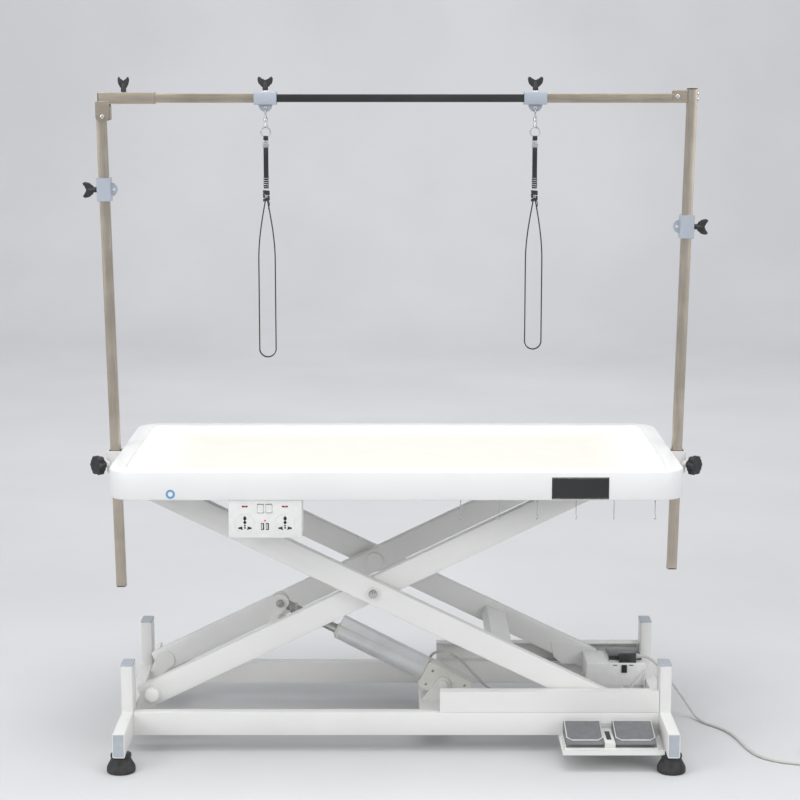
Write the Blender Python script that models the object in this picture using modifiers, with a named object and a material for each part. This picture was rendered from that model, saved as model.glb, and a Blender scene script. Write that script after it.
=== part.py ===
"""Electric grooming table: a scissor-lift base, a lit top, and an arch that holds two tether loops.

Metres, +Z up, +X to the right of a person who stands in front and looks along +Y. The origin is on
the floor, under the middle of the top.
"""
import math

import bmesh
import bpy
from mathutils import Matrix, Vector

OBJECT_NAME = "grooming_table"
GAP = 0.0003  # between pieces that touch

# Steel tube of the base and of the scissor arms
TUBE_WIDTH = 0.027
TUBE_HEIGHT = 0.054
TUBE_WALL = 0.002
TUBE_ROUND = 0.003

# Base frame
FRAME_BOTTOM = 0.041
FRAME_TOP = FRAME_BOTTOM + TUBE_HEIGHT
END_RAIL_X = 0.6035
END_RAIL_INNER = END_RAIL_X - TUBE_WIDTH / 2
END_RAIL_HALF = 0.358
SIDE_RAIL_Y = 0.1935
CORNER_POST_Y = 0.180
CORNER_POST_TOP = 0.2015
FOOT_X = 0.603
FOOT_Y = 0.325

# Scissor lift: both arms have one fixed end at the left and one rolling end at the right
PIVOT_X = -0.5546
PIVOT_Z = 0.1185
ARM_LENGTH = 1.118  # from pivot to pivot
ARM_ANGLE = math.radians(25.92)
ARM_END = 0.024  # tube beyond the last pivot
INNER_ARM_Y = 0.1355
OUTER_ARM_Y = 0.1645
RISE = ARM_LENGTH * math.sin(ARM_ANGLE)
REACH = ARM_LENGTH * math.cos(ARM_ANGLE)
UPPER_Z = PIVOT_Z + RISE
ROLLER_X = PIVOT_X + REACH
CENTRE_X = PIVOT_X + REACH / 2
CENTRE_Z = PIVOT_Z + RISE / 2
PIN_RADIUS = 0.008
PIN_HOLE = PIN_RADIUS + 0.0004
ROLLER_RADIUS = 0.0195
ROLLER_Y = 0.192
ROLLER_WIDTH = 0.019

# Tracks, which are channels open towards the arms
TRACK_LEFT = 0.098
TRACK_RIGHT = END_RAIL_INNER - GAP
TRACK_INNER_Y = 0.180
TRACK_OUTER_Y = 0.2067
TRACK_PLATE = 0.003
TRACK_HALF = 0.021  # half of the clear height

# Pedals and control box
PEDAL_AXIS = (-0.2165, 0.0640)  # y and z
CONTROL_BOX_LEFT = 0.450
CONTROL_BOX_Y = (0.038, 0.146)
CONTROL_BOX_Z = (0.080, 0.1345)

# Mains cord: over the right end rail and along the floor to a coil and a plug
CORD_DIAMETER = 0.0065
CORD_FLOOR = CORD_DIAMETER / 2 + GAP
CORD_STEP = 0.0145
CORD_EXIT = (0.5675, 0.0530, 0.1480)
COIL_CENTRE = Vector((0.968, -0.243, 0))
COIL_MIDDLE = 0.036
COIL_LAYERS = 3  # turns side by side, and on each other
COIL_INNER = COIL_MIDDLE - COIL_LAYERS * CORD_DIAMETER / 2
COIL_OUTER = COIL_MIDDLE + COIL_LAYERS * CORD_DIAMETER / 2
COIL_HEIGHT = COIL_LAYERS * CORD_DIAMETER
CORD_ROUTE = [
    CORD_EXIT, (0.5775, 0.0530, 0.1480), (0.5870, 0.0530, 0.1473), (0.5965, 0.0525, 0.1444),
    (0.6060, 0.0520, 0.1385), (0.6176, 0.0510, 0.1272), (0.6365, 0.0500, 0.1055),
    (0.6554, 0.0500, 0.0812), (0.6740, 0.0490, 0.0560), (0.6857, 0.0470, 0.0396),
    (0.6945, 0.0423, 0.0264), (0.7017, 0.0346, 0.0163), (0.7085, 0.0238, 0.0092),
    (0.7162, 0.0097, 0.0049), (0.7260, -0.0080, CORD_FLOOR), (0.7560, -0.0470, CORD_FLOOR),
    (0.7760, -0.0926, CORD_FLOOR), (0.7865, -0.1450, CORD_FLOOR), (0.7960, -0.1960, CORD_FLOOR),
    (0.8123, -0.2390, CORD_FLOOR), (0.8460, -0.2700, CORD_FLOOR), (0.8926, -0.2880, CORD_FLOOR),
    (0.9300, -0.2924, CORD_FLOOR), (COIL_CENTRE.x, -0.2923, CORD_FLOOR),
]
CORD_TAIL = [  # y and z, from the coil's inmost turn over the turns outside it to the plug
    (-0.2350, 0.0163), (-0.2250, 0.0200), (-0.2140, 0.0226), (-0.2030, 0.0222),
    (-0.1880, 0.0165), (-0.1780, 0.0132), (-0.1685, 0.0122),
]
PLUG_X = COIL_CENTRE.x + COIL_MIDDLE - CORD_DIAMETER
PLUG_NEAR = -0.1680

# Linear actuator
MOTOR_PIVOT = Vector((0.1087, 0, 0.1028))
BEAM_X = 0.080
BEAM_HEIGHT = 0.027
CLEVIS_ALONG = 0.3345  # along the inner arm from its fixed pivot
CLEVIS_ABOVE = 0.0356  # above the inner arm's centre line
CLEVIS_TUBE_ALONG = CLEVIS_ALONG - 0.026

# Top
TOP_LENGTH = 1.25
TOP_WIDTH = 0.60
TOP_Z = 0.664
APRON_BOTTOM = 0.6015
TOP_CORNER = 0.055
APRON_WALL = 0.0035
DECK_BOTTOM = 0.646
PANEL_BOTTOM = 0.6535
PANEL_TOP = 0.6588
PANEL_HALF_LENGTH = 0.590
PANEL_FRONT = -0.254
PANEL_BACK = 0.270

# Socket box and its rocker switches
SOCKET_BOX_FRONT = -(TOP_WIDTH / 2 - APRON_WALL - GAP)
ROCKERS = {"left": -0.2933, "right": -0.2751}
ROCKER_Z = 0.5828
ROCKER_WIDTH = 0.0130
ROCKER_HEIGHT = 0.0180

# Arch
ARCH_X = 0.6445  # of a post where it crosses its socket
ARCH_Z = 0.631
LEAN = 0.0199  # outward per metre of height
POST_SIZE = 0.022
POST_WALL = 0.0015
LEFT_POST = (0.333, 1.433)
RIGHT_POST = (0.375, 1.475)
BAR_Z = 1.455
SOCKET_OPENING = 0.031
SOCKET_WALL = 0.0037
SOCKET_Z = (0.605, 0.655)
KNOB_TURN = math.radians(42)
KNOB_Z = 0.6254
THUMB_X = -0.609
CLAMP_WIDTH = 0.0285
HOOK_Z = BAR_Z - CLAMP_WIDTH / 2 - 0.0075  # the hole of a bar clamp's tab
BAR_CLAMPS = {"left": -0.2925, "right": 0.311}
POST_CLAMPS = {"left": 1.2516, "right": 1.1684}
LOOP_BOTTOM = {"left": 0.870, "right": 0.888}

X = Vector((1, 0, 0))
Y = Vector((0, 1, 0))
Z = Vector((0, 0, 1))
ARM_AXIS = Vector((math.cos(ARM_ANGLE), 0, math.sin(ARM_ANGLE)))
ARM_NORMAL = Vector((-math.sin(ARM_ANGLE), 0, math.cos(ARM_ANGLE)))
SIDES = {"front": -1, "rear": 1}
ENDS = {"left": -1, "right": 1}

COLOURS = {  # red, green, blue, roughness, metallic
    "white_paint": (0.85, 0.85, 0.83, 0.45, 0.0),
    "tray_white": (0.87, 0.87, 0.86, 0.35, 0.0),
    "panel_light": (0.95, 0.92, 0.86, 0.30, 0.0),
    "brown_steel": (0.42, 0.38, 0.34, 0.35, 1.0),
    "bright_steel": (0.65, 0.65, 0.65, 0.25, 1.0),
    "black_plastic": (0.03, 0.03, 0.03, 0.45, 0.0),
    "black_paint": (0.04, 0.04, 0.04, 0.40, 0.0),
    "rubber": (0.03, 0.03, 0.03, 0.80, 0.0),
    "grey_plastic": (0.36, 0.38, 0.40, 0.55, 0.0),
    "cream_plastic": (0.76, 0.74, 0.66, 0.50, 0.0),
    "clamp_blue_grey": (0.55, 0.60, 0.66, 0.40, 0.0),
    "white_plastic": (0.85, 0.85, 0.83, 0.40, 0.0),
    "red_plastic": (0.60, 0.05, 0.04, 0.35, 0.0),
    "black_webbing": (0.02, 0.02, 0.02, 0.90, 0.0),
    "cable_grey": (0.55, 0.56, 0.56, 0.60, 0.0),
}


# ---- Scene and registration

def clear_scene():
    for obj in list(bpy.data.objects):
        bpy.data.objects.remove(obj, do_unlink=True)


def make_material(name):
    red, green, blue, roughness, metallic = COLOURS[name]
    material = bpy.data.materials.new(name)
    material.use_nodes = True
    shader = material.node_tree.nodes["Principled BSDF"]
    shader.inputs["Base Color"].default_value = (red, green, blue, 1)
    shader.inputs["Roughness"].default_value = roughness
    shader.inputs["Metallic"].default_value = metallic
    return material


def new_collection(name):
    collection = bpy.data.collections.new(name)
    bpy.context.scene.collection.children.link(collection)
    return collection


def joint_empty(name, centre, parent=None):
    """The axis that a moving body turns or slides on."""
    empty = bpy.data.objects.new(name, None)
    parts.objects.link(empty)
    empty.location = centre
    bpy.context.view_layer.update()
    if parent:
        keep_place(empty, parent)
    return empty


def keep_place(obj, parent):
    obj.parent = parent
    obj.matrix_parent_inverse = parent.matrix_world.inverted()
    bpy.context.view_layer.update()


def finish_part(mesh, name, material, parent=None):
    """Makes a mesh the named part of the object."""
    mesh.name = name
    mesh.materials.clear()
    mesh.materials.append(materials[material])
    mesh.shade_smooth()
    mesh.set_sharp_from_angle(angle=math.radians(34))
    obj = bpy.data.objects.new(name, mesh)
    parts.objects.link(obj)
    if parent:
        keep_place(obj, parent)
    return obj


# ---- Shapes: each returns a mesh in world coordinates

def stand(centre, along=Z, up=Y):
    """Puts a shape's own Z along one direction and its own Y towards another."""
    third = Vector(along).normalized()
    first = Vector(up).cross(third).normalized()
    second = third.cross(first)
    turn = Matrix((first, second, third)).transposed().to_4x4()
    return Matrix.Translation(centre) @ turn


def across(y):
    """For an outline drawn in X and Z, at this Y."""
    return stand((0, y, 0), -Y, Z)


def lengthwise(x):
    """For an outline drawn in Y and Z, at this X."""
    return stand((x, 0, 0), X, Z)


def evaluated_mesh(data, place=Matrix()):
    """The mesh that Blender makes of a curve, or of a mesh with its modifiers."""
    holder = data if isinstance(data, bpy.types.Object) else bpy.data.objects.new("holder", data)
    if holder.name not in bpy.context.scene.collection.objects:
        bpy.context.scene.collection.objects.link(holder)
    graph = bpy.context.evaluated_depsgraph_get()
    mesh = bpy.data.meshes.new_from_object(holder.evaluated_get(graph))
    bpy.data.objects.remove(holder, do_unlink=True)
    build = bmesh.new()
    build.from_mesh(mesh)
    bmesh.ops.remove_doubles(build, verts=build.verts, dist=0.00001)
    bmesh.ops.recalc_face_normals(build, faces=build.faces)
    build.to_mesh(mesh)
    build.free()
    mesh.transform(place)
    return mesh


def rounded_rectangle(width, height, radius=0.0, steps=2, centre=(0, 0)):
    if not radius:
        steps = 0
    points = []
    for quarter, (side_x, side_y) in enumerate(((1, 1), (-1, 1), (-1, -1), (1, -1))):
        for step in range(steps + 1):
            angle = math.radians(90 * quarter + 90 * step / max(steps, 1))
            x = side_x * (width / 2 - radius) + radius * math.cos(angle)
            y = side_y * (height / 2 - radius) + radius * math.sin(angle)
            points.append((x + centre[0], y + centre[1]))
    return points


def arc(centre, radius, start, end, steps):
    """Points on an arc, with its angles in degrees."""
    angles = [math.radians(start + (end - start) * step / steps) for step in range(steps + 1)]
    return [(centre[0] + radius * math.cos(a), centre[1] + radius * math.sin(a)) for a in angles]


def circle(centre, radius, steps=16):
    return arc(centre, radius, 0, 360 * (1 - 1 / steps), steps - 1)


def plate(outlines, depth, place):
    """A flat outline, with any further outlines as holes in it, extruded by depth about its plane."""
    curve = bpy.data.curves.new("outline", "CURVE")
    curve.dimensions = "2D"
    curve.fill_mode = "BOTH"
    curve.extrude = depth / 2
    for points in outlines:
        spline = curve.splines.new("POLY")
        spline.points.add(len(points) - 1)
        for point, (x, y) in zip(spline.points, points):
            point.co = (x, y, 0, 1)
        spline.use_cyclic_u = True
    return evaluated_mesh(curve, place)


def box(low, high):
    """A block between two corners."""
    low, high = Vector(low), Vector(high)
    size = high - low
    build = bmesh.new()
    scale = Matrix.Diagonal((*size, 1))
    bmesh.ops.create_cube(build, size=1, matrix=Matrix.Translation((low + high) / 2) @ scale)
    mesh = bpy.data.meshes.new("box")
    build.to_mesh(mesh)
    build.free()
    return mesh


def softened(mesh, width, segments=2, angle=50):
    """Rounds the edges that are sharper than the angle."""
    obj = bpy.data.objects.new("softened", mesh)
    bevel = obj.modifiers.new("bevel", "BEVEL")
    bevel.width = width
    bevel.segments = segments
    bevel.limit_method = "ANGLE"
    bevel.angle_limit = math.radians(angle)
    return evaluated_mesh(obj)


def drum(radius, start, end, sides=16, end_radius=None):
    """A cylinder or a cone between two points."""
    start, end = Vector(start), Vector(end)
    axis = end - start
    up = Z if abs(axis.normalized().z) < 0.9 else Y
    build = bmesh.new()
    bmesh.ops.create_cone(
        build, cap_ends=True, segments=sides, radius1=radius,
        radius2=radius if end_radius is None else end_radius,
        depth=axis.length, matrix=stand((start + end) / 2, axis, up),
    )
    mesh = bpy.data.meshes.new("drum")
    build.to_mesh(mesh)
    build.free()
    return mesh


def cross_pin(x, z, y_from, y_to, radius=PIN_RADIUS, sides=12):
    return drum(radius, (x, y_from, z), (x, y_to, z), sides)


def turned(profile, place, steps=16, closed=False):
    """A profile of (radius, height), run down its outer side, turned about its own Z."""
    mesh = bpy.data.meshes.new("profile")
    edges = [(i, i + 1) for i in range(len(profile) - 1)]
    if closed:
        edges.append((len(profile) - 1, 0))
    mesh.from_pydata([(radius, 0, height) for radius, height in profile], edges, [])
    obj = bpy.data.objects.new("profile", mesh)
    screw = obj.modifiers.new("turn", "SCREW")
    screw.steps = steps
    screw.render_steps = steps
    screw.use_merge_vertices = True
    screw.merge_threshold = 0.00001
    return evaluated_mesh(obj, place)


def tube(start, end, width, height, wall, up=Z, radius=TUBE_ROUND):
    """A rectangular tube with open ends, its height towards up."""
    start, end = Vector(start), Vector(end)
    outlines = [rounded_rectangle(width, height, radius)]
    outlines.append(rounded_rectangle(width - 2 * wall, height - 2 * wall))
    return plate(outlines, (end - start).length, stand((start + end) / 2, end - start, up))


def wire(points, diameter, sides=8, cyclic=False):
    """A round bar or cable along a list of points."""
    curve = bpy.data.curves.new("wire", "CURVE")
    curve.dimensions = "3D"
    curve.bevel_depth = diameter / 2
    curve.bevel_resolution = sides // 4
    curve.use_fill_caps = not cyclic
    spline = curve.splines.new("POLY")
    spline.points.add(len(points) - 1)
    for point, place in zip(spline.points, points):
        point.co = (*place, 1)
    spline.use_cyclic_u = cyclic
    return evaluated_mesh(curve)


def combined(first, others, operation):
    base = bpy.data.objects.new("base", first)
    bpy.context.scene.collection.objects.link(base)
    for other in others:
        tool = bpy.data.objects.new("tool", other)
        cutters.objects.link(tool)
        tool.hide_render = True
        tool.display_type = "WIRE"
        boolean = base.modifiers.new("join", "BOOLEAN")
        boolean.operation = operation
        boolean.solver = "EXACT"
        boolean.object = tool
    mesh = evaluated_mesh(base)
    for tool in list(cutters.objects):
        bpy.data.objects.remove(tool, do_unlink=True)
    return mesh


def fuse(first, *others):
    return combined(first, others, "UNION")


def cut(first, *others):
    return combined(first, others, "DIFFERENCE")


def smooth_route(points, spacing):
    """Points at an even spacing along a smooth curve through the given ones."""
    knots = [Vector(point) for point in points]
    knots = [2 * knots[0] - knots[1], *knots, 2 * knots[-1] - knots[-2]]
    dense = []
    for a, b, c, d in zip(knots, knots[1:], knots[2:], knots[3:]):
        for step in range(40):
            t = step / 40
            dense.append(
                0.5 * (2 * b + (c - a) * t + (2 * a - 5 * b + 4 * c - d) * t ** 2
                       + (3 * b - a - 3 * c + d) * t ** 3)
            )
    dense.append(knots[-2])
    total = sum((q - p).length for p, q in zip(dense, dense[1:]))
    count = max(2, round(total / spacing))
    even, walked, target = [dense[0]], 0.0, total / count
    for p, q in zip(dense, dense[1:]):
        length = (q - p).length
        while walked + length >= target - 1e-9 and len(even) < count:
            even.append(p.lerp(q, (target - walked) / length))
            target += total / count
        walked += length
    even.append(dense[-1])
    return even


# ---- Base

def make_end_frame(end):
    x = ENDS[end] * END_RAIL_X
    middle = (FRAME_BOTTOM + FRAME_TOP) / 2
    frame = tube((x, -END_RAIL_HALF, middle), (x, END_RAIL_HALF, middle),
                 TUBE_WIDTH, TUBE_HEIGHT, TUBE_WALL)
    pieces = []
    for side in SIDES.values():
        y = side * CORNER_POST_Y
        pieces.append(tube((x, y, FRAME_TOP - 0.004), (x, y, CORNER_POST_TOP),
                           TUBE_WIDTH - 0.0006, TUBE_HEIGHT, TUBE_WALL, up=Y))
    if end == "left":
        for side in SIDES.values():
            pieces += lower_pivot(side)
    finish_part(fuse(frame, *pieces), f"{end}_end_frame", "white_paint")


def lower_pivot(side):
    """Two ears beside the inner arm's fixed end, with the pin through them and a boss outside."""
    rail_face = -END_RAIL_INNER - 0.0012
    outline = [(rail_face, 0.092), (rail_face, 0.056)]
    outline += arc((PIVOT_X, PIVOT_Z), 0.022, -60, 150, 10)
    ears = [plate([outline], 0.003, across(side * y)) for y in (0.1200, 0.1510)]
    pin = cross_pin(PIVOT_X, PIVOT_Z, side * 0.1192, side * 0.1515)
    boss = cross_pin(PIVOT_X, PIVOT_Z, side * 0.1515, side * 0.158, 0.018, 16)
    return [*ears, pin, boss]


def channel(side, x_from, x_to, middle, seat):
    """A track open towards the arms. seat, if any, is the height of a flange beside its outer wall."""
    inner, outer = side * TRACK_INNER_Y, side * TRACK_OUTER_Y
    wall = side * (TRACK_OUTER_Y - TRACK_PLATE)
    low, high = middle - TRACK_HALF, middle + TRACK_HALF
    bottom, top = low - TRACK_PLATE, high + TRACK_PLATE
    outline = [(inner, bottom), (outer, bottom), (outer, top), (inner, top),
               (inner, high), (wall, high), (wall, low), (inner, low)]
    if seat:
        flange = side * (TRACK_OUTER_Y + 0.018)
        outline[2:3] = [(outer, seat - TRACK_PLATE), (flange, seat - TRACK_PLATE), (flange, seat),
                        (wall, seat), (wall, top)]
    return plate([outline], x_to - x_from, lengthwise((x_from + x_to) / 2))


def make_side_rail(name):
    side = SIDES[name]
    reach = END_RAIL_INNER - GAP
    middle = (FRAME_BOTTOM + FRAME_TOP) / 2
    rail = tube((-reach, side * SIDE_RAIL_Y, middle), (reach, side * SIDE_RAIL_Y, middle),
                TUBE_WIDTH, TUBE_HEIGHT, TUBE_WALL)
    track_middle = FRAME_TOP - 0.0005 + TRACK_PLATE + TRACK_HALF
    pieces = [channel(side, TRACK_LEFT, TRACK_RIGHT, track_middle, None)]
    if name == "front":
        shelf_right = 0.587
        pieces.append(box((0.3645, -0.335, 0.0395), (shelf_right, -0.183, 0.0415)))
        pieces.append(box((0.3645, -0.335, 0.0405), (shelf_right, -0.333, 0.050)))
    finish_part(fuse(rail, *pieces), f"{name}_rail", "white_paint")


def make_actuator_beam():
    reach = SIDE_RAIL_Y - TUBE_WIDTH / 2 - GAP
    middle = FRAME_BOTTOM + BEAM_HEIGHT / 2
    beam = tube((BEAM_X, -reach, middle), (BEAM_X, reach, middle),
                TUBE_HEIGHT, BEAM_HEIGHT, TUBE_WALL)
    foot = FRAME_BOTTOM + BEAM_HEIGHT - 0.001
    outline = [(0.060, foot), (0.104, foot)]
    outline += arc((MOTOR_PIVOT.x, MOTOR_PIVOT.z), 0.018, -20, 165, 9)
    pieces = [cross_pin(MOTOR_PIVOT.x, MOTOR_PIVOT.z, -0.033, 0.033, 0.006)]
    for side in SIDES.values():
        pieces.append(plate([outline], 0.004, across(side * 0.0255)))
        pieces.append(cross_pin(MOTOR_PIVOT.x, MOTOR_PIVOT.z, side * 0.027, side * 0.032, 0.0115))
    finish_part(fuse(beam, *pieces), "actuator_beam", "white_paint")


def make_feet():
    profile = [(0, FRAME_BOTTOM - GAP), (0.0135, FRAME_BOTTOM - GAP), (0.0150, 0.033),
               (0.0215, 0.024), (0.0275, 0.012), (0.0315, 0.004), (0.0315, 0), (0, 0)]
    for end, end_side in ENDS.items():
        for name, side in SIDES.items():
            place = Matrix.Translation((end_side * FOOT_X, side * FOOT_Y, 0))
            finish_part(turned(profile, place, 16), f"{name}_{end}_foot", "rubber")


def make_pedals():
    base_bottom = 0.0415 + GAP
    body = softened(box((0.370, -0.314, base_bottom), (0.576, -0.2085, 0.0475)), 0.002)
    rear = box((0.370, -0.2120, 0.045), (0.576, -0.2085, 0.0720))
    bridge = box((0.4580, -0.312, 0.046), (0.4815, -0.2085, 0.0600))
    ribs = [box((x - 0.0015, -0.310, 0.046), (x + 0.0015, -0.2085, 0.0530))
            for x in (0.3715, 0.5745)]
    finish_part(fuse(body, rear, bridge, *ribs), "pedal_body", "white_plastic")
    profile = [(-0.3120, 0.0535), (-0.2140, 0.0600), (-0.2128, 0.0780), (-0.2180, 0.0800),
               (-0.3060, 0.0620), (-0.3120, 0.0580)]
    for name, low, high in (("left", 0.3740, 0.4570), ("right", 0.4825, 0.5720)):
        parent = joint_empty(f"{name}_pedal_axis", ((low + high) / 2, PEDAL_AXIS[0], PEDAL_AXIS[1]))
        pad = plate([profile], high - low, lengthwise((low + high) / 2))
        finish_part(softened(pad, 0.002, 2, 30), f"{name}_pedal", "grey_plastic", parent)


def make_control_box():
    """A housing with a raised terminal on top, from which the mains cord leaves to the right."""
    (front, back), (bottom, top) = CONTROL_BOX_Y, CONTROL_BOX_Z
    housing = softened(box((CONTROL_BOX_LEFT, front, bottom), (END_RAIL_INNER - GAP, back, top)), 0.003)
    x, y, z = CORD_EXIT
    low, high = (x - 0.040, y - 0.0095, top - 0.004), (x - GAP, y + 0.0095, z + 0.0080)
    terminal = softened(box(low, high), 0.0025)
    finish_part(fuse(housing, terminal), "control_box", "white_plastic")


def make_motor_cable():
    """From the rear ear of the actuator beam, over the motor and along the floor to the control box."""
    route = [(0.082, 0.0312, 0.092), (0.076, 0.041, 0.118), (0.081, 0.038, 0.152),
             (0.100, 0.014, 0.1710), (0.124, -0.004, 0.1705), (0.150, -0.006, 0.1555),
             (0.185, 0.000, 0.1177), (0.214, 0.010, 0.086), (0.250, 0.030, 0.062),
             (0.310, 0.055, 0.052), (0.370, 0.072, 0.060), (0.422, 0.080, 0.087),
             (0.4482, 0.082, 0.096)]
    points = smooth_route(route, 0.016)
    finish_part(wire(points, 0.006), "motor_cable", "cable_grey")


# ---- Mains cord: a free run over the end rail to a loose coil and a plug

def make_mains_cord():
    finish_part(wire(smooth_route(CORD_ROUTE, CORD_STEP), CORD_DIAMETER), "mains_cord", "cable_grey")
    soft = CORD_DIAMETER / 2
    ring = [(COIL_OUTER, COIL_HEIGHT - soft), (COIL_OUTER, soft), (COIL_OUTER - soft, GAP),
            (COIL_INNER + soft, GAP), (COIL_INNER, soft), (COIL_INNER, COIL_HEIGHT - soft),
            (COIL_INNER + soft, COIL_HEIGHT), (COIL_OUTER - soft, COIL_HEIGHT)]
    coil = turned(ring, Matrix.Translation(COIL_CENTRE), 28, closed=True)
    tail = wire([(PLUG_X, y, z) for y, z in CORD_TAIL], CORD_DIAMETER)
    finish_part(fuse(coil, tail), "cord_coil", "cable_grey")
    near, far = PLUG_NEAR, PLUG_NEAR + 0.038
    body = softened(box((PLUG_X - 0.0140, near, GAP), (PLUG_X + 0.0140, far, 0.0240)), 0.004)
    pins = [drum(0.0024, (PLUG_X + shift, far - 0.002, 0.012), (PLUG_X + shift, far + 0.019, 0.012), 10)
            for shift in (-0.0095, 0.0095)]
    finish_part(fuse(body, *pins), "mains_plug", "black_plastic")


# ---- Scissor lift

def arm_point(along, above=0.0):
    """A point on the inner arm, from its fixed pivot."""
    return Vector((PIVOT_X, 0, PIVOT_Z)) + ARM_AXIS * along + ARM_NORMAL * above


def make_inner_arms(parent):
    start, end = arm_point(-ARM_END), arm_point(ARM_LENGTH + ARM_END)
    for name, side in SIDES.items():
        y = side * INNER_ARM_Y
        arm = tube(start + Y * y, end + Y * y, TUBE_WIDTH, TUBE_HEIGHT, TUBE_WALL, ARM_NORMAL)
        inner, outer = side * 0.110, side * 0.160
        arm = cut(arm, cross_pin(PIVOT_X, PIVOT_Z, inner, outer, PIN_HOLE),
                  cross_pin(ROLLER_X, UPPER_Z, inner, outer, PIN_HOLE))
        pin = cross_pin(CENTRE_X, CENTRE_Z, side * 0.1185, side * 0.180)
        head = cross_pin(CENTRE_X, CENTRE_Z, side * 0.1785, side * 0.1845, 0.014, 6)
        boss = cross_pin(CENTRE_X, CENTRE_Z, side * 0.1180, side * 0.1230, 0.020, 16)
        finish_part(fuse(arm, pin, head, boss), f"{name}_inner_arm", "white_paint", parent)


def make_outer_arms(parent):
    axis = Vector((ARM_AXIS.x, 0, -ARM_AXIS.z))
    normal = Vector((-ARM_NORMAL.x, 0, ARM_NORMAL.z))
    upper = Vector((PIVOT_X, 0, UPPER_Z))
    for name, side in SIDES.items():
        shift = Y * side * OUTER_ARM_Y
        arm = tube(upper - axis * ARM_END + shift, upper + axis * (ARM_LENGTH + ARM_END) + shift,
                   TUBE_WIDTH, TUBE_HEIGHT, TUBE_WALL, normal)
        inner, outer = side * 0.145, side * 0.190
        holes = [cross_pin(x, z, inner, outer, PIN_HOLE)
                 for x, z in ((PIVOT_X, UPPER_Z), (CENTRE_X, CENTRE_Z), (ROLLER_X, PIVOT_Z))]
        finish_part(cut(arm, *holes), f"{name}_outer_arm", "white_paint", parent)


def make_inner_cross_tube(parent):
    """Joins the inner arms and carries the actuator's upper clevis."""
    reach = INNER_ARM_Y - TUBE_WIDTH / 2 - GAP
    centre = arm_point(CLEVIS_TUBE_ALONG)
    cross = tube(centre - Y * reach, centre + Y * reach, TUBE_WIDTH, TUBE_WIDTH, TUBE_WALL, ARM_NORMAL)
    clevis = arm_point(CLEVIS_ALONG, CLEVIS_ABOVE)
    feet = [arm_point(CLEVIS_TUBE_ALONG - 0.012, 0.012), arm_point(CLEVIS_TUBE_ALONG + 0.012, 0.009)]
    tilt = math.degrees(ARM_ANGLE)
    outline = [(foot.x, foot.z) for foot in feet]
    outline += arc((clevis.x, clevis.z), 0.020, tilt - 40, tilt + 165, 10)
    pieces = []
    for side in SIDES.values():
        pieces.append(plate([outline], 0.004, across(side * 0.0150)))
        pieces.append(cross_pin(clevis.x, clevis.z, side * 0.0165, side * 0.0215, 0.009, 6))
    finish_part(fuse(cross, *pieces), "inner_cross_tube", "white_paint", parent)


def make_outer_cross_tube(parent):
    reach = OUTER_ARM_Y - TUBE_WIDTH / 2 - GAP
    along = 0.319
    x, z = CENTRE_X + along * ARM_AXIS.x, CENTRE_Z - along * ARM_AXIS.z
    normal = Vector((-ARM_NORMAL.x, 0, ARM_NORMAL.z))
    cross = tube((x, -reach, z), (x, reach, z), TUBE_HEIGHT, TUBE_WIDTH, TUBE_WALL, normal)
    finish_part(cross, "outer_cross_tube", "white_paint", parent)


def roller_profile(stub, stub_radius):
    """A wheel about its own Z with an axle that runs on past it towards -Z."""
    half = ROLLER_WIDTH / 2
    return [(0, half), (ROLLER_RADIUS - 0.0015, half), (ROLLER_RADIUS, half - 0.0015),
            (ROLLER_RADIUS, -half + 0.0015), (ROLLER_RADIUS - 0.0015, -half),
            (stub_radius, -half), (stub_radius, -half - stub), (0, -half - stub)]


def make_lower_rollers(outer_frame):
    for name, side in SIDES.items():
        centre = Vector((ROLLER_X, side * ROLLER_Y, PIVOT_Z))
        parent = joint_empty(f"{name}_lower_roller_axis", centre, outer_frame)
        stub = ROLLER_Y - ROLLER_WIDTH / 2 - (OUTER_ARM_Y - TUBE_WIDTH / 2)
        wheel = turned(roller_profile(stub, PIN_RADIUS - 0.0002), stand(centre, Y * side, Z))
        finish_part(wheel, f"{name}_lower_roller", "grey_plastic", parent)


def make_upper_rollers(inner_frame):
    """Both upper wheels on one axle through the inner arms."""
    centre = Vector((ROLLER_X, 0, UPPER_Z))
    parent = joint_empty("upper_roller_axis", centre, inner_frame)
    near, far = ROLLER_Y - ROLLER_WIDTH / 2, ROLLER_Y + ROLLER_WIDTH / 2
    round_off, shaft = ROLLER_RADIUS - 0.0015, PIN_RADIUS - 0.0002
    half = [(0, far), (round_off, far), (ROLLER_RADIUS, far - 0.0015),
            (ROLLER_RADIUS, near + 0.0015), (round_off, near), (shaft, near)]
    profile = half + [(radius, -height) for radius, height in reversed(half)]
    finish_part(turned(profile, stand(centre, Y, Z)), "upper_roller_axle", "grey_plastic", parent)


# ---- Actuator

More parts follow.
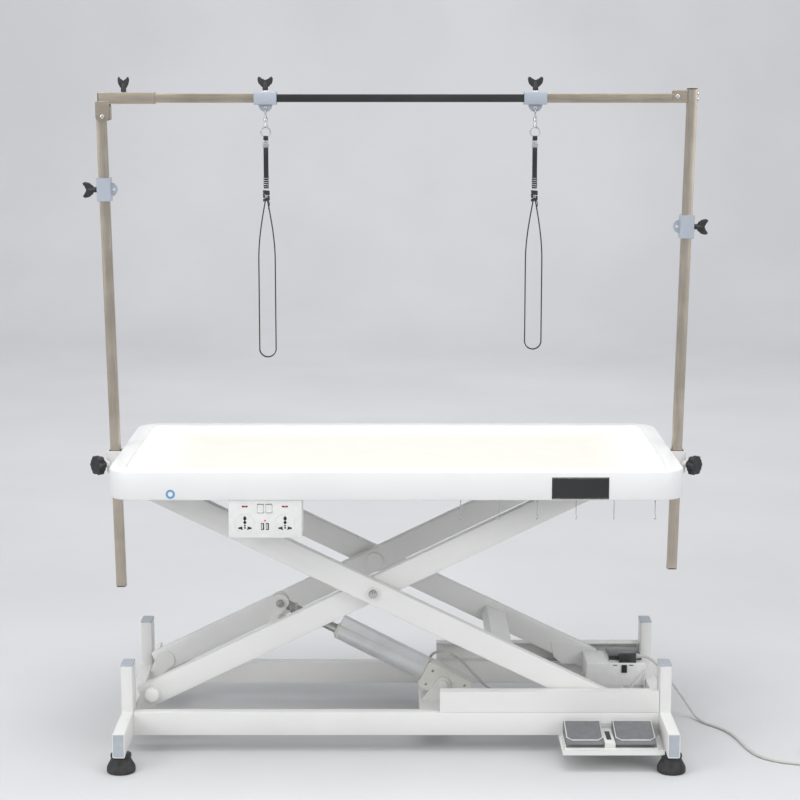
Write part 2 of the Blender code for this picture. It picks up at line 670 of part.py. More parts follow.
def make_actuator(inner_frame):
    clevis = arm_point(CLEVIS_ALONG, CLEVIS_ABOVE)
    length = (clevis - MOTOR_PIVOT).length
    along = (clevis - MOTOR_PIVOT).normalized()
    above = along.cross(-Y)
    side_view = stand(MOTOR_PIVOT, Y, above)
    swing = joint_empty("actuator_axis", MOTOR_PIVOT)
    mouth, seat = 0.276, 0.0525

    body = rounded_rectangle(0.114, 0.064, 0.008, 3, centre=(-0.005, 0.002))
    housing = plate([body, circle((0, 0), 0.0064)], 0.045, side_view)
    finish_part(housing, "actuator_housing", "cream_plastic", swing)

    section = arc((0, 0), 0.020, 126.87, 413.13, 16) + [(0.012, 0.036), (-0.012, 0.036)]
    middle = MOTOR_PIVOT + along * (seat + mouth) / 2
    sleeve = plate([section, circle((0, 0), 0.0125)], mouth - seat, stand(middle, along, above))
    finish_part(sleeve, "actuator_tube", "white_paint", swing)

    slide = joint_empty("actuator_rod_axis", MOTOR_PIVOT + along * mouth, swing)
    rod = drum(0.011, MOTOR_PIVOT + along * 0.115, MOTOR_PIVOT + along * (length - 0.009), 18)
    eye = cross_pin(clevis.x, clevis.z, -0.0095, 0.0095, 0.013)
    finish_part(fuse(rod, eye), "actuator_rod", "bright_steel", slide)


# ---- Top

def make_tray(parent):
    outer = plate([rounded_rectangle(TOP_LENGTH, TOP_WIDTH, TOP_CORNER, 6)],
                  TOP_Z - APRON_BOTTOM, Matrix.Translation((0, 0, (TOP_Z + APRON_BOTTOM) / 2)))
    outer = softened(outer, 0.004, 2)
    inner = rounded_rectangle(TOP_LENGTH - 2 * APRON_WALL, TOP_WIDTH - 2 * APRON_WALL,
                              TOP_CORNER - APRON_WALL, 6)
    below = plate([inner], 2 * (DECK_BOTTOM - APRON_BOTTOM), Matrix.Translation((0, 0, APRON_BOTTOM)))
    pocket = panel_outline(GAP)
    above = plate([pocket], 2 * (TOP_Z - PANEL_BOTTOM + GAP), Matrix.Translation((0, 0, TOP_Z)))
    finish_part(cut(outer, below, above), "table_tray", "tray_white", parent)


def panel_outline(grow=0.0):
    centre = (0, (PANEL_FRONT + PANEL_BACK) / 2)
    return rounded_rectangle(2 * (PANEL_HALF_LENGTH + grow), PANEL_BACK - PANEL_FRONT + 2 * grow,
                             0.022 + grow, 4, centre)


def make_light_panel(parent):
    middle = (PANEL_BOTTOM + PANEL_TOP) / 2
    panel = plate([panel_outline()], PANEL_TOP - PANEL_BOTTOM, Matrix.Translation((0, 0, middle)))
    finish_part(panel, "light_panel", "panel_light", parent)


def make_top_channels(parent):
    """Each holds the outer arm's fixed pin at the left and guides the inner arm's roller at the right."""
    for name, side in SIDES.items():
        track = channel(side, -PANEL_HALF_LENGTH, PANEL_HALF_LENGTH, UPPER_Z, DECK_BOTTOM - GAP)
        pin = cross_pin(PIVOT_X, UPPER_Z, side * 0.1500, side * 0.2050)
        collar = cross_pin(PIVOT_X, UPPER_Z, side * 0.1800, side * 0.2045, 0.013)
        finish_part(fuse(track, pin, collar), f"{name}_top_channel", "white_paint", parent)


def make_socket_box(parent):
    shell = softened(box((-0.363, SOCKET_BOX_FRONT, 0.517), (-0.204, -0.2252, DECK_BOTTOM - GAP)), 0.003)
    well_x, well_z = ROCKER_WIDTH / 2 + 0.0006, ROCKER_HEIGHT / 2 + 0.0012
    wells = [box((x - well_x, SOCKET_BOX_FRONT - 0.010, ROCKER_Z - well_z),
                 (x + well_x, SOCKET_BOX_FRONT + 0.012, ROCKER_Z + well_z)) for x in ROCKERS.values()]
    finish_part(cut(shell, *wells), "socket_box", "white_plastic", parent)
    for name, x in ROCKERS.items():
        axis_y = SOCKET_BOX_FRONT + 0.0045
        axis = joint_empty(f"{name}_rocker_axis", (x, axis_y, ROCKER_Z), parent)
        half = ROCKER_HEIGHT / 2
        profile = [(SOCKET_BOX_FRONT - 0.0022, ROCKER_Z + half), (SOCKET_BOX_FRONT + 0.0002, ROCKER_Z),
                   (SOCKET_BOX_FRONT - 0.0010, ROCKER_Z - half), (axis_y + 0.003, ROCKER_Z - half + 0.002),
                   (axis_y + 0.003, ROCKER_Z + half - 0.002)]
        rocker = plate([profile], ROCKER_WIDTH, lengthwise(x))
        finish_part(rocker, f"{name}_rocker", "black_plastic", axis)


# ---- Post sockets and star knobs

def knob_axis(end):
    return Vector((ENDS[end] * math.cos(KNOB_TURN), -math.sin(KNOB_TURN), 0))


def make_post_socket(end, parent):
    x = ENDS[end] * ARCH_X
    size = SOCKET_OPENING + 2 * SOCKET_WALL
    middle = (SOCKET_Z[0] + SOCKET_Z[1]) / 2
    ring = plate([rounded_rectangle(size, size, 0.004), rounded_rectangle(SOCKET_OPENING, SOCKET_OPENING)],
                 SOCKET_Z[1] - SOCKET_Z[0], Matrix.Translation((x, 0, middle)))
    centre = Vector((x, 0, KNOB_Z))
    axis = knob_axis(end)
    boss = drum(0.0085, centre + axis * 0.0215, centre + axis * 0.0310, 12)
    bore = drum(0.0045, centre + axis * 0.0120, centre + axis * 0.0400, 12)
    inside = box((x - SOCKET_OPENING / 2, -SOCKET_OPENING / 2, SOCKET_Z[0] - 0.01),
                 (x + SOCKET_OPENING / 2, SOCKET_OPENING / 2, SOCKET_Z[1] + 0.01))
    finish_part(cut(fuse(ring, boss), inside, bore), f"{end}_post_socket", "white_paint", parent)


def make_star_knob(end, parent):
    axis = knob_axis(end)
    centre = Vector((ENDS[end] * ARCH_X, 0, KNOB_Z))
    turn_axis = joint_empty(f"{end}_star_knob_axis", centre + axis * 0.05, parent)
    lobes, per_lobe = 6, 4
    outline = []
    for step in range(lobes * per_lobe):
        angle = 2 * math.pi * step / (lobes * per_lobe)
        radius = 0.0208 + 0.0032 * math.cos(lobes * angle)
        outline.append((radius * math.cos(angle), radius * math.sin(angle)))
    knob = softened(plate([outline], 0.016, stand(centre + axis * 0.0495, axis, Z)), 0.002, 1, 60)
    hub = drum(0.0090, centre + axis * 0.0325, centre + axis * 0.0430, 14)
    screw = drum(0.0040, centre + axis * 0.0165, centre + axis * 0.0420, 12)
    finish_part(fuse(knob, hub, screw), f"{end}_star_knob", "black_plastic", turn_axis)


# ---- Arch

def post_point(end, z):
    return Vector((ENDS[end] * (ARCH_X + LEAN * (z - ARCH_Z)), 0, z))


def make_posts(parent):
    for end, (low, high) in (("left", LEFT_POST), ("right", RIGHT_POST)):
        post = tube(post_point(end, low), post_point(end, high), POST_SIZE, POST_SIZE, POST_WALL, Y, 0.002)
        finish_part(post, f"{end}_post", "brown_steel", parent)


def bar_tube(x_from, x_to, size, wall):
    return tube((x_from, 0, BAR_Z), (x_to, 0, BAR_Z), size, size, wall, Z, 0.0018)


def make_crossbar(parent):
    finish_part(bar_tube(-0.661, -0.267, 0.0205, 0.0012), "crossbar_left", "brown_steel", parent)
    finish_part(bar_tube(-0.317, 0.336, 0.0174, 0.0015), "crossbar_centre", "black_paint", parent)
    finish_part(bar_tube(0.286, 0.6465, 0.0205, 0.0012), "crossbar_right", "brown_steel", parent)


def make_corner_sleeve(parent):
    """Holds the bar's left tube and straddles the left post with two riveted ears."""
    sleeve = bar_tube(-0.664, -0.539, 0.0256, 0.0022)
    thumb_hole = drum(0.0034, (THUMB_X, 0, BAR_Z + 0.005), (THUMB_X, 0, BAR_Z + 0.020), 12)
    outline = [(-0.6715, 1.448), (-0.6715, 1.412), (-0.6660, 1.405), (-0.6450, 1.405),
               (-0.6400, 1.412), (-0.6400, 1.448)]
    pieces = []
    for side in SIDES.values():
        pieces.append(plate([outline], 0.0025, across(side * 0.01255)))
        pieces.append(cross_pin(-0.6565, 1.414, side * 0.0135, side * 0.0155, 0.0042, 12))
    whole = cut(fuse(sleeve, *pieces), thumb_hole,
                box((-0.70, -0.0105, BAR_Z - 0.0105), (-0.50, 0.0105, BAR_Z + 0.0105)))
    finish_part(whole, "corner_sleeve", "brown_steel", parent)


def wing_screw(base, axis, across_axis, tip, neck, height, span, thickness):
    """A screw from its tip to a flat wing, along one axis."""
    screw = drum(0.0030, base + axis * tip, base + axis * (neck + 0.004), 10)
    collar = drum(0.0052, base + axis * neck, base + axis * (neck + 0.007), 12)
    outline = [(-0.0045, neck + 0.005), (0.0045, neck + 0.005), (span / 2 - 0.002, neck + height * 0.45),
               (span / 2, neck + height * 0.8), (span / 2 - 0.003, neck + height),
               (0.0035, neck + height * 0.72), (-0.0035, neck + height * 0.72),
               (-span / 2 + 0.003, neck + height), (-span / 2, neck + height * 0.8),
               (-span / 2 + 0.002, neck + height * 0.45)]
    wing = plate([outline], thickness, stand(base, across_axis.cross(axis), axis))
    return fuse(screw, collar, softened(wing, 0.001, 1, 60))


def make_thumb_screw(arch):
    base = Vector((THUMB_X, 0, BAR_Z))
    parent = joint_empty("thumb_screw_axis", base, arch)
    screw = wing_screw(base, Z, Y, 0.0107, 0.0135, 0.035, 0.026, 0.006)
    finish_part(screw, "thumb_screw", "black_plastic", parent)


def make_right_bracket(parent):
    """A clevis on the right post, around the bar's right end."""
    outline = arc((0.6225, 1.4500), 0.005, 180, 270, 3)[:-1] + [(0.6490, 1.4450), (0.6490, 1.4726)]
    outline += arc((0.6225, 1.4676), 0.005, 90, 180, 3)
    pieces = []
    for side in SIDES.values():
        pieces.append(plate([outline], 0.0025, across(side * 0.01195)))
        pieces.append(cross_pin(0.6270, 1.4590, side * 0.0130, side * 0.0150, 0.0042, 12))
    back = box((0.6470, -0.0132, 1.4445), (0.6494, 0.0132, 1.4731))
    finish_part(fuse(back, *pieces), "right_corner_bracket", "brown_steel", parent)


def tab_outline(reach, half, hole_at):
    """A half-round tab below the origin, with its hole."""
    outline = [(half, 0.004)] + arc((0, -reach + half * 0.86), half, -8, -172, 12) + [(-half, 0.004)]
    return [outline, circle((0, hole_at), 0.0035, 10)]


def clamp_block(place, length, width, opening, tab_reach, tab_half):
    """A block around a square tube that runs along its own X, with a tab below and a screw hole above."""
    ring = [rounded_rectangle(width, width, 0.003), rounded_rectangle(opening, opening)]
    block = plate(ring, length, lengthwise(0))
    hole = tab_reach - 0.0065
    tab = plate(tab_outline(tab_reach, tab_half, -hole), 0.003, stand((0, 0, -width / 2), -Y, Z))
    bore = drum(0.0034, (0, 0, opening / 2 - 0.003), (0, 0, width / 2 + 0.003), 12)
    space = box((-length, -opening / 2, -opening / 2), (length, opening / 2, opening / 2))
    mesh = cut(fuse(block, tab), space, bore)
    mesh.transform(place)
    return mesh


def make_bar_clamps(arch):
    for end, x in BAR_CLAMPS.items():
        base = Vector((x, 0, BAR_Z))
        block = clamp_block(Matrix.Translation(base), 0.051, CLAMP_WIDTH, 0.0211, 0.0140, 0.0155)
        finish_part(block, f"{end}_bar_clamp", "clamp_blue_grey", arch)
        parent = joint_empty(f"{end}_bar_screw_axis", base, arch)
        screw = wing_screw(base, Z, X, 0.0107, 0.0148, 0.034, 0.037, 0.007)
        finish_part(screw, f"{end}_bar_screw", "black_plastic", parent)


def make_post_clamps(arch):
    for end, z in POST_CLAMPS.items():
        base = post_point(end, z)
        outward = ENDS[end]
        up = (post_point(end, z + 1) - base).normalized()
        away = Y.cross(up) * outward
        slide = joint_empty(f"{end}_post_clamp_axis", base, arch)
        block = clamp_block(stand(base, away, Y), 0.052, 0.0320, 0.0227, 0.0120, 0.0155)
        finish_part(block, f"{end}_post_clamp", "clamp_blue_grey", slide)
        parent = joint_empty(f"{end}_post_screw_axis", base, slide)
        screw = wing_screw(base, away, up, 0.0116, 0.0166, 0.033, 0.037, 0.007)
        finish_part(screw, f"{end}_post_screw", "black_plastic", parent)


# ---- Nooses

def ring_points(centre, radius, first, second, steps=14):
    return [centre + (first * math.cos(a) + second * math.sin(a)) * radius
            for a in (2 * math.pi * step / steps for step in range(steps))]


def make_noose(end, arch):
    x = BAR_CLAMPS[end]
    top = Vector((x, 0, HOOK_Z))
    parent = joint_empty(f"{end}_noose_axis", top, arch)
    link = wire(ring_points(top - Z * 0.0080, 0.0080, Y, Z), 0.0030, cyclic=True)
    hook = softened(box((x - 0.0045, -0.0030, 1.3885), (x + 0.0045, 0.0030, HOOK_Z - 0.0150)), 0.0015, 1)
    ring = wire(ring_points(Vector((x, 0, 1.3800)), 0.0105, X, Z), 0.0028, cyclic=True)
    finish_part(fuse(link, hook, ring), f"{end}_noose_hook", "bright_steel", parent)

    bottom = LOOP_BOTTOM[end]
    knot, wide = 1.2300, 1.0900
    stem = box((x - 0.0055, -0.0035, knot - 0.004), (x + 0.0055, 0.0035, 1.3675))
    knot_body = softened(box((x - 0.0080, -0.0065, knot - 0.006), (x + 0.0080, 0.0065, knot + 0.022)),
                         0.003, 1)
    crimp = softened(box((x - 0.0068, -0.0048, 1.3450), (x + 0.0068, 0.0048, 1.3620)), 0.001, 1)
    outlines = [loop_outline(x, knot, wide, bottom, 0.020),
                loop_outline(x, knot - 0.020, wide, bottom + 0.0028, 0.0172)]
    loop = plate(outlines, 0.0080, across(0))
    finish_part(fuse(stem, knot_body, crimp, loop), f"{end}_noose_strap", "black_webbing", parent)


def loop_outline(x, top, wide, bottom, half):
    """A long teardrop: it widens from its top to its full width and ends in a half circle."""
    steps = 6
    side = []
    for step in range(steps + 1):
        share = step / steps
        side.append((half * (0.12 + 0.88 * math.sin(share * math.pi / 2)), top + (wide - top) * share))
    turn = arc((0, bottom + half), half, 0, -180, 10)
    left = [(-width, z) for width, z in reversed(side)]
    return [(x + px, pz) for px, pz in side + turn + left]


def build():
    for end in ENDS:
        make_end_frame(end)
    for side in SIDES:
        make_side_rail(side)
    make_actuator_beam()
    make_feet()
    make_pedals()
    make_control_box()
    make_mains_cord()
    make_motor_cable()

    inner_frame = joint_empty("lift_axis", (PIVOT_X, 0, PIVOT_Z))
    outer_frame = joint_empty("scissor_axis", (CENTRE_X, 0, CENTRE_Z), inner_frame)
    table = joint_empty("table_axis", (PIVOT_X, 0, UPPER_Z), outer_frame)
    arch = joint_empty("arch_axis", (0, 0, ARCH_Z), table)
    make_inner_arms(inner_frame)
    make_inner_cross_tube(inner_frame)
    make_upper_rollers(inner_frame)
    make_outer_arms(outer_frame)
    make_outer_cross_tube(outer_frame)
    make_lower_rollers(outer_frame)
    make_actuator(inner_frame)

    make_tray(table)
    make_light_panel(table)
    make_top_channels(table)
    make_socket_box(table)
    for end in ENDS:
        make_post_socket(end, table)
        make_star_knob(end, table)

    make_posts(arch)
    make_crossbar(arch)
    make_corner_sleeve(arch)
    make_thumb_screw(arch)
    make_right_bracket(arch)
    make_bar_clamps(arch)
    make_post_clamps(arch)
    for end in ENDS:
        make_noose(end, arch)


clear_scene()
materials = {name: make_material(name) for name in COLOURS}
parts = new_collection(OBJECT_NAME)
cutters = new_collection("cutters")
build()
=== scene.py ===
"""Looks of the grooming table: materials, small fittings, cords, floor, light and camera.

Metres, +Z up, in the frame of the CAD model. Every piece rides on a CAD body.
"""

import math
from types import SimpleNamespace

import bmesh
import bpy
from mathutils import Matrix, Vector


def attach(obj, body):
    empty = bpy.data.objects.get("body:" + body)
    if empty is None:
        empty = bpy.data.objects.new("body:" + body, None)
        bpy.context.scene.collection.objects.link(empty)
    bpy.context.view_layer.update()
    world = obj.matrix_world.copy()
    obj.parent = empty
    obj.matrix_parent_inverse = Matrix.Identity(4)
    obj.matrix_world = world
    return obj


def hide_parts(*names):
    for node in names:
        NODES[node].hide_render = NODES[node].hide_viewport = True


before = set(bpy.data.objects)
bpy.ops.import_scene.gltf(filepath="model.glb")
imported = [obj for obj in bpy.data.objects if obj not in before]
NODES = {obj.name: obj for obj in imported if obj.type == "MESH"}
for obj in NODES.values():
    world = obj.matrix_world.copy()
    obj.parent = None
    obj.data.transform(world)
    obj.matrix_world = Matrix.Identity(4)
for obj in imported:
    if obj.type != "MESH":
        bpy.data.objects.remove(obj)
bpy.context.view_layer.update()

X, Y, Z = Vector((1, 0, 0)), Vector((0, 1, 0)), Vector((0, 0, 1))
SIDES = (-1, 1)

# ---- Places and sizes that the CAD model sets

ARM_ANGLE = math.radians(25.92)
ARM_LENGTH = 1.118
PIVOT = Vector((-0.5546, 0, 0.1185))
ARM_AXIS = Vector((math.cos(ARM_ANGLE), 0, math.sin(ARM_ANGLE)))
ARM_NORMAL = Vector((-math.sin(ARM_ANGLE), 0, math.cos(ARM_ANGLE)))
CENTRE = PIVOT + ARM_AXIS * ARM_LENGTH / 2
END_RAIL_X, END_RAIL_HALF = 0.6035, 0.358
RAIL_MIDDLE_Z, POST_TOP_Z = 0.068, 0.2015
CORNER_POST_Y = 0.18
FOOT = Vector((0.603, 0.325, 0))
ARM_FACE = 0.1845  # outer face of an inner arm, from the middle plane
ARM_INNER_FACE = 0.1499
MOTOR_PIVOT = Vector((0.1087, 0, 0.1028))
CLEVIS = PIVOT + ARM_AXIS * 0.3345 + ARM_NORMAL * 0.0356
APRON_FRONT = -0.3
SOCKET_FRONT = -0.2962
PANEL_END, PANEL_BACK, GLOW_REACH = 0.59, 0.27, 0.16
BAR_Z = 1.455
THUMB_X = -0.609
KNOB_Z, KNOB_ANGLE = 0.6254, math.radians(42)
ARCH_X, ARCH_Z, LEAN = 0.6445, 0.631, 0.0199
POST_LOW = {-1: 0.333, 1: 0.375}
POST_HIGH = {-1: 1.433, 1: 1.475}
NOOSES = {"left": (-0.2925, 0.87), "right": (0.311, 0.888)}  # x, and the bottom of the loop
POST_SCREWS = {"left": (-1, 1.2516), "right": (1, 1.1684)}  # side, and height
PEDALS = {"left": (0.374, 0.457), "right": (0.4825, 0.572)}
HOOK_Z = 1.43325

CORD_DIAMETER = 0.0065
CORD_FLOOR = 0.00355
COIL_CENTRE = Vector((0.968, -0.243, 0))
COIL_RADII = (0.0425, 0.036, 0.0295)
CORD_EXIT = (0.5675, 0.053, 0.148)
CORD_ROUTE = [
    CORD_EXIT, (0.5775, 0.053, 0.148), (0.587, 0.053, 0.1473), (0.5965, 0.0525, 0.1444),
    (0.606, 0.052, 0.1385), (0.6176, 0.051, 0.1272), (0.6365, 0.05, 0.1055),
    (0.6554, 0.05, 0.0812), (0.674, 0.049, 0.056), (0.6857, 0.047, 0.0396),
    (0.6945, 0.0423, 0.0264), (0.7017, 0.0346, 0.0163), (0.7085, 0.0238, 0.0092),
    (0.7162, 0.0097, 0.0049), (0.726, -0.008, CORD_FLOOR), (0.756, -0.047, CORD_FLOOR),
    (0.776, -0.0926, CORD_FLOOR), (0.7865, -0.145, CORD_FLOOR), (0.796, -0.196, CORD_FLOOR),
    (0.8123, -0.239, CORD_FLOOR), (0.846, -0.27, CORD_FLOOR), (0.8926, -0.288, CORD_FLOOR),
    (0.93, -0.2924, CORD_FLOOR), (COIL_CENTRE.x, -0.2923, CORD_FLOOR),
]
CORD_TAIL = [
    (-0.235, 0.0163), (-0.225, 0.02), (-0.214, 0.0226), (-0.203, 0.0222),
    (-0.188, 0.0165), (-0.178, 0.0132), (-0.1685, 0.0122),
]
PLUG_X, PLUG_NEAR = 0.9975, -0.168
MOTOR_CABLE = [
    (0.082, 0.0312, 0.092), (0.076, 0.041, 0.118), (0.081, 0.038, 0.152),
    (0.1, 0.014, 0.171), (0.124, -0.004, 0.1705), (0.15, -0.006, 0.1555),
    (0.185, 0.000, 0.1177), (0.214, 0.01, 0.086), (0.25, 0.03, 0.062),
    (0.31, 0.055, 0.052), (0.37, 0.072, 0.06), (0.422, 0.08, 0.087), (0.4482, 0.082, 0.096),
]


# ---- Materials

def new_material(name, colour, roughness, metallic=0.0):
    """A Principled material with its nodes, its links, its shader and its object coordinates in metres."""
    material = bpy.data.materials.new(name)
    material.use_nodes = True
    nodes = material.node_tree.nodes
    shader = nodes["Principled BSDF"]
    shader.inputs["Base Color"].default_value = (*colour, 1)
    shader.inputs["Roughness"].default_value = roughness
    shader.inputs["Metallic"].default_value = metallic
    place = nodes.new("ShaderNodeTexCoord").outputs["Object"]
    return SimpleNamespace(material=material, nodes=nodes, links=material.node_tree.links, shader=shader,
                           place=place)


def noise(look, scale, detail=3.0, stretch=None):
    """Noise with `scale` cells a metre, drawn out along the axes whose coordinates `stretch` squeezes."""
    place = look.place
    if stretch:
        squeezed = look.nodes.new("ShaderNodeMapping")
        squeezed.inputs["Scale"].default_value = stretch
        look.links.new(place, squeezed.inputs["Vector"])
        place = squeezed.outputs["Vector"]
    pattern = look.nodes.new("ShaderNodeTexNoise")
    pattern.inputs["Scale"].default_value = scale
    pattern.inputs["Detail"].default_value = detail
    look.links.new(place, pattern.inputs["Vector"])
    return pattern.outputs["Fac"]


def calculate(look, operation, *terms):
    """A Math node on terms that are sockets or plain numbers."""
    step = look.nodes.new("ShaderNodeMath")
    step.operation = operation
    for socket, term in zip(step.inputs, terms):
        if isinstance(term, (int, float)):
            socket.default_value = term
        else:
            look.links.new(term, socket)
    return step.outputs["Value"]


def vary_colour(look, factor, first, second, low=0.35, high=0.65):
    ramp = look.nodes.new("ShaderNodeValToRGB")
    ramp.color_ramp.elements[0].position, ramp.color_ramp.elements[0].color = low, (*first, 1)
    ramp.color_ramp.elements[1].position, ramp.color_ramp.elements[1].color = high, (*second, 1)
    look.links.new(factor, ramp.inputs["Fac"])
    look.links.new(ramp.outputs["Color"], look.shader.inputs["Base Color"])
    return ramp.outputs["Color"]


def vary_roughness(look, factor, low, high):
    span = look.nodes.new("ShaderNodeMapRange")
    span.inputs["From Min"].default_value, span.inputs["From Max"].default_value = 0.3, 0.7
    span.inputs["To Min"].default_value, span.inputs["To Max"].default_value = low, high
    look.links.new(factor, span.inputs["Value"])
    look.links.new(span.outputs["Result"], look.shader.inputs["Roughness"])


def add_bump(look, height, depth, strength=1.0, edge=0.0):
    """Bump of `depth` metres. edge is the radius to which sharp edges look rounded."""
    bump = look.nodes.new("ShaderNodeBump")
    bump.inputs["Distance"].default_value = depth
    bump.inputs["Strength"].default_value = strength
    look.links.new(height, bump.inputs["Height"])
    if edge:
        bevel = look.nodes.new("ShaderNodeBevel")
        bevel.samples = 4
        bevel.inputs["Radius"].default_value = edge
        look.links.new(bevel.outputs["Normal"], bump.inputs["Normal"])
    look.links.new(bump.outputs["Normal"], look.shader.inputs["Normal"])


def painted(name, colour, shade, roughness, peel=420.0, depth=0.00006, edge=0.001, coat=0.0):
    """Powder coat or enamel: fine orange peel, faint cloudy tone, and slightly uneven gloss."""
    look = new_material(name, colour, roughness)
    vary_colour(look, noise(look, 5.0, 5.0), shade, colour)
    vary_roughness(look, noise(look, 38.0, 4.0), roughness - 0.06, roughness + 0.07)
    add_bump(look, noise(look, peel, 2.0), depth, 0.7, edge)
    look.shader.inputs["Coat Weight"].default_value = coat
    look.shader.inputs["Coat Roughness"].default_value = 0.2
    return look.material


def moulded(name, colour, shade, roughness, grain=1500.0, depth=0.00005, edge=0.0006):
    """Injection-moulded plastic or rubber: spark-eroded grain and a little handling shine."""
    look = new_material(name, colour, roughness)
    vary_colour(look, noise(look, 60.0, 6.0), shade, colour)
    vary_roughness(look, noise(look, 90.0, 5.0), roughness - 0.08, roughness + 0.1)
    add_bump(look, noise(look, grain, 2.0), depth, 0.8, edge)
    return look.material


def brushed(name, colour, shade, roughness, along, depth=0.00002, metallic=1.0):
    """Brushed steel: hairlines along one axis, with cloudy stains from handling."""
    look = new_material(name, colour, roughness, metallic)
    stretch = [1.0, 1.0, 1.0]
    stretch["XYZ".index(along)] = 0.012
    hair = noise(look, 1500.0, 3.0, stretch)
    cloud = noise(look, 14.0, 6.0)
    mixed = calculate(look, "MULTIPLY_ADD", cloud, 0.55, calculate(look, "MULTIPLY", hair, 0.45))
    vary_colour(look, mixed, shade, colour, 0.4, 0.6)
    vary_roughness(look, hair, roughness - 0.07, roughness + 0.08)
    add_bump(look, hair, depth, 0.6, 0.0008)
    return look.material


def woven(name, colour, highlight):
    """Flat nylon webbing: rows of ribs across it and a finer thread along it."""
    look = new_material(name, colour, 0.72)
    waves = []
    for direction, scale, distortion, detail in (("Z", 210.0, 1.2, 300.0), ("Y", 320.0, 0.8, 1.0)):
        wave = look.nodes.new("ShaderNodeTexWave")
        wave.wave_type, wave.bands_direction = "BANDS", direction
        wave.inputs["Scale"].default_value = scale
        wave.inputs["Distortion"].default_value = distortion
        wave.inputs["Detail Scale"].default_value = detail
        look.links.new(look.place, wave.inputs["Vector"])
        waves.append(wave.outputs["Fac"])
    both = calculate(look, "MULTIPLY", *waves)
    vary_colour(look, both, colour, highlight, 0.0, 1.0)
    look.shader.inputs["Sheen Weight"].default_value = 0.25
    look.shader.inputs["Sheen Roughness"].default_value = 0.45
    add_bump(look, both, 0.0003, 0.8)
    return look.material


def lit_panel(name):
    """Backlit translucent sheet, brightest beside the strips at its ends and its back."""
    look = new_material(name, (0.5, 0.49, 0.455), 0.34)
    apart = look.nodes.new("ShaderNodeSeparateXYZ")
    look.links.new(look.place, apart.inputs["Vector"])
    from_middle = calculate(look, "ABSOLUTE", apart.outputs["X"])
    nearness = []
    for distance, edge_at in ((from_middle, PANEL_END), (apart.outputs["Y"], PANEL_BACK)):
        span = look.nodes.new("ShaderNodeMapRange")
        span.interpolation_type = "SMOOTHSTEP"
        span.inputs["From Min"].default_value = edge_at - GLOW_REACH
        span.inputs["From Max"].default_value = edge_at
        look.links.new(distance, span.inputs["Value"])
        nearness.append(span.outputs["Result"])
    edge = calculate(look, "MAXIMUM", *nearness)
    glow = look.nodes.new("ShaderNodeMapRange")
    glow.inputs["To Min"].default_value, glow.inputs["To Max"].default_value = 0.33, 0.55
    look.links.new(edge, glow.inputs["Value"])
    look.links.new(glow.outputs["Result"], look.shader.inputs["Emission Strength"])
    look.shader.inputs["Emission Color"].default_value = (1.0, 0.97, 0.84, 1)
    add_bump(look, noise(look, 700.0, 2.0), 0.00005, 0.5)
    vary_roughness(look, noise(look, 12.0, 4.0), 0.3, 0.4)
    return look.material


def glowing(name, colour, strength):
    look = new_material(name, colour, 0.25)
    vary_colour(look, noise(look, 400.0), [c * 0.6 for c in colour], colour)
    look.shader.inputs["Emission Color"].default_value = (*colour, 1)
    look.shader.inputs["Emission Strength"].default_value = strength
    return look.material


FRAME_WHITE = painted("frame_white", (0.8, 0.8, 0.775), (0.765, 0.765, 0.74), 0.42)
TRAY_WHITE = painted("tray_white", (0.83, 0.83, 0.82), (0.8, 0.8, 0.79), 0.34, 160.0, 0.00005, 0.003, 0.15)
PANEL_GLOW = lit_panel("panel_glow")
STEEL_UPRIGHT = brushed("steel_upright", (0.56, 0.5, 0.42), (0.43, 0.38, 0.315), 0.36, "Z")
STEEL_LEVEL = brushed("steel_level", (0.54, 0.475, 0.385), (0.42, 0.365, 0.295), 0.34, "X")
STEEL_BRIGHT = brushed("steel_bright", (0.62, 0.61, 0.6), (0.45, 0.44, 0.43), 0.24, "Z")
BRASS = brushed("brass", (0.62, 0.46, 0.22), (0.45, 0.32, 0.14), 0.3, "Y")
BLACK_PAINT = painted("black_paint", (0.018, 0.018, 0.019), (0.026, 0.026, 0.027), 0.36, 500.0)
BLACK_PLASTIC = moulded("black_plastic", (0.017, 0.017, 0.018), (0.03, 0.03, 0.031), 0.42)
RUBBER = moulded("rubber", (0.02, 0.02, 0.02), (0.04, 0.039, 0.037), 0.62, 900.0, 0.00012)
PAD_GREY = moulded("pad_grey", (0.185, 0.188, 0.195), (0.16, 0.163, 0.17), 0.52, 1300.0, 0.00016)
CREAM = moulded("cream_plastic", (0.8, 0.79, 0.73), (0.76, 0.75, 0.69), 0.46)
CLAMP_BLUE = painted("clamp_blue_grey", (0.4, 0.44, 0.495), (0.365, 0.405, 0.46), 0.38)
CAP_BLUE = moulded("cap_blue_grey", (0.45, 0.49, 0.53), (0.41, 0.45, 0.49), 0.46)
WHITE_PLASTIC = moulded("white_plastic", (0.82, 0.82, 0.8), (0.78, 0.78, 0.76), 0.36, 1500.0, 0.00003)
ALUMINIUM = brushed("aluminium", (0.78, 0.78, 0.78), (0.66, 0.66, 0.66), 0.4, "X", metallic=0.55)
WEBBING = woven("webbing", (0.01, 0.01, 0.011), (0.045, 0.045, 0.048))
CABLE_GREY = moulded("cable_grey", (0.56, 0.555, 0.53), (0.5, 0.495, 0.47), 0.44, 1200.0, 0.00004, 0.0)
SMOKED = moulded("smoked_plastic", (0.035, 0.035, 0.038), (0.055, 0.055, 0.058), 0.14, 500.0, 0.00001)
INDICATOR_RED = glowing("indicator_red", (0.8, 0.05, 0.08), 0.35)
DISC_BLUE = painted("disc_blue", (0.1, 0.28, 0.52), (0.13, 0.33, 0.58), 0.35)


# ---- Mesh helpers

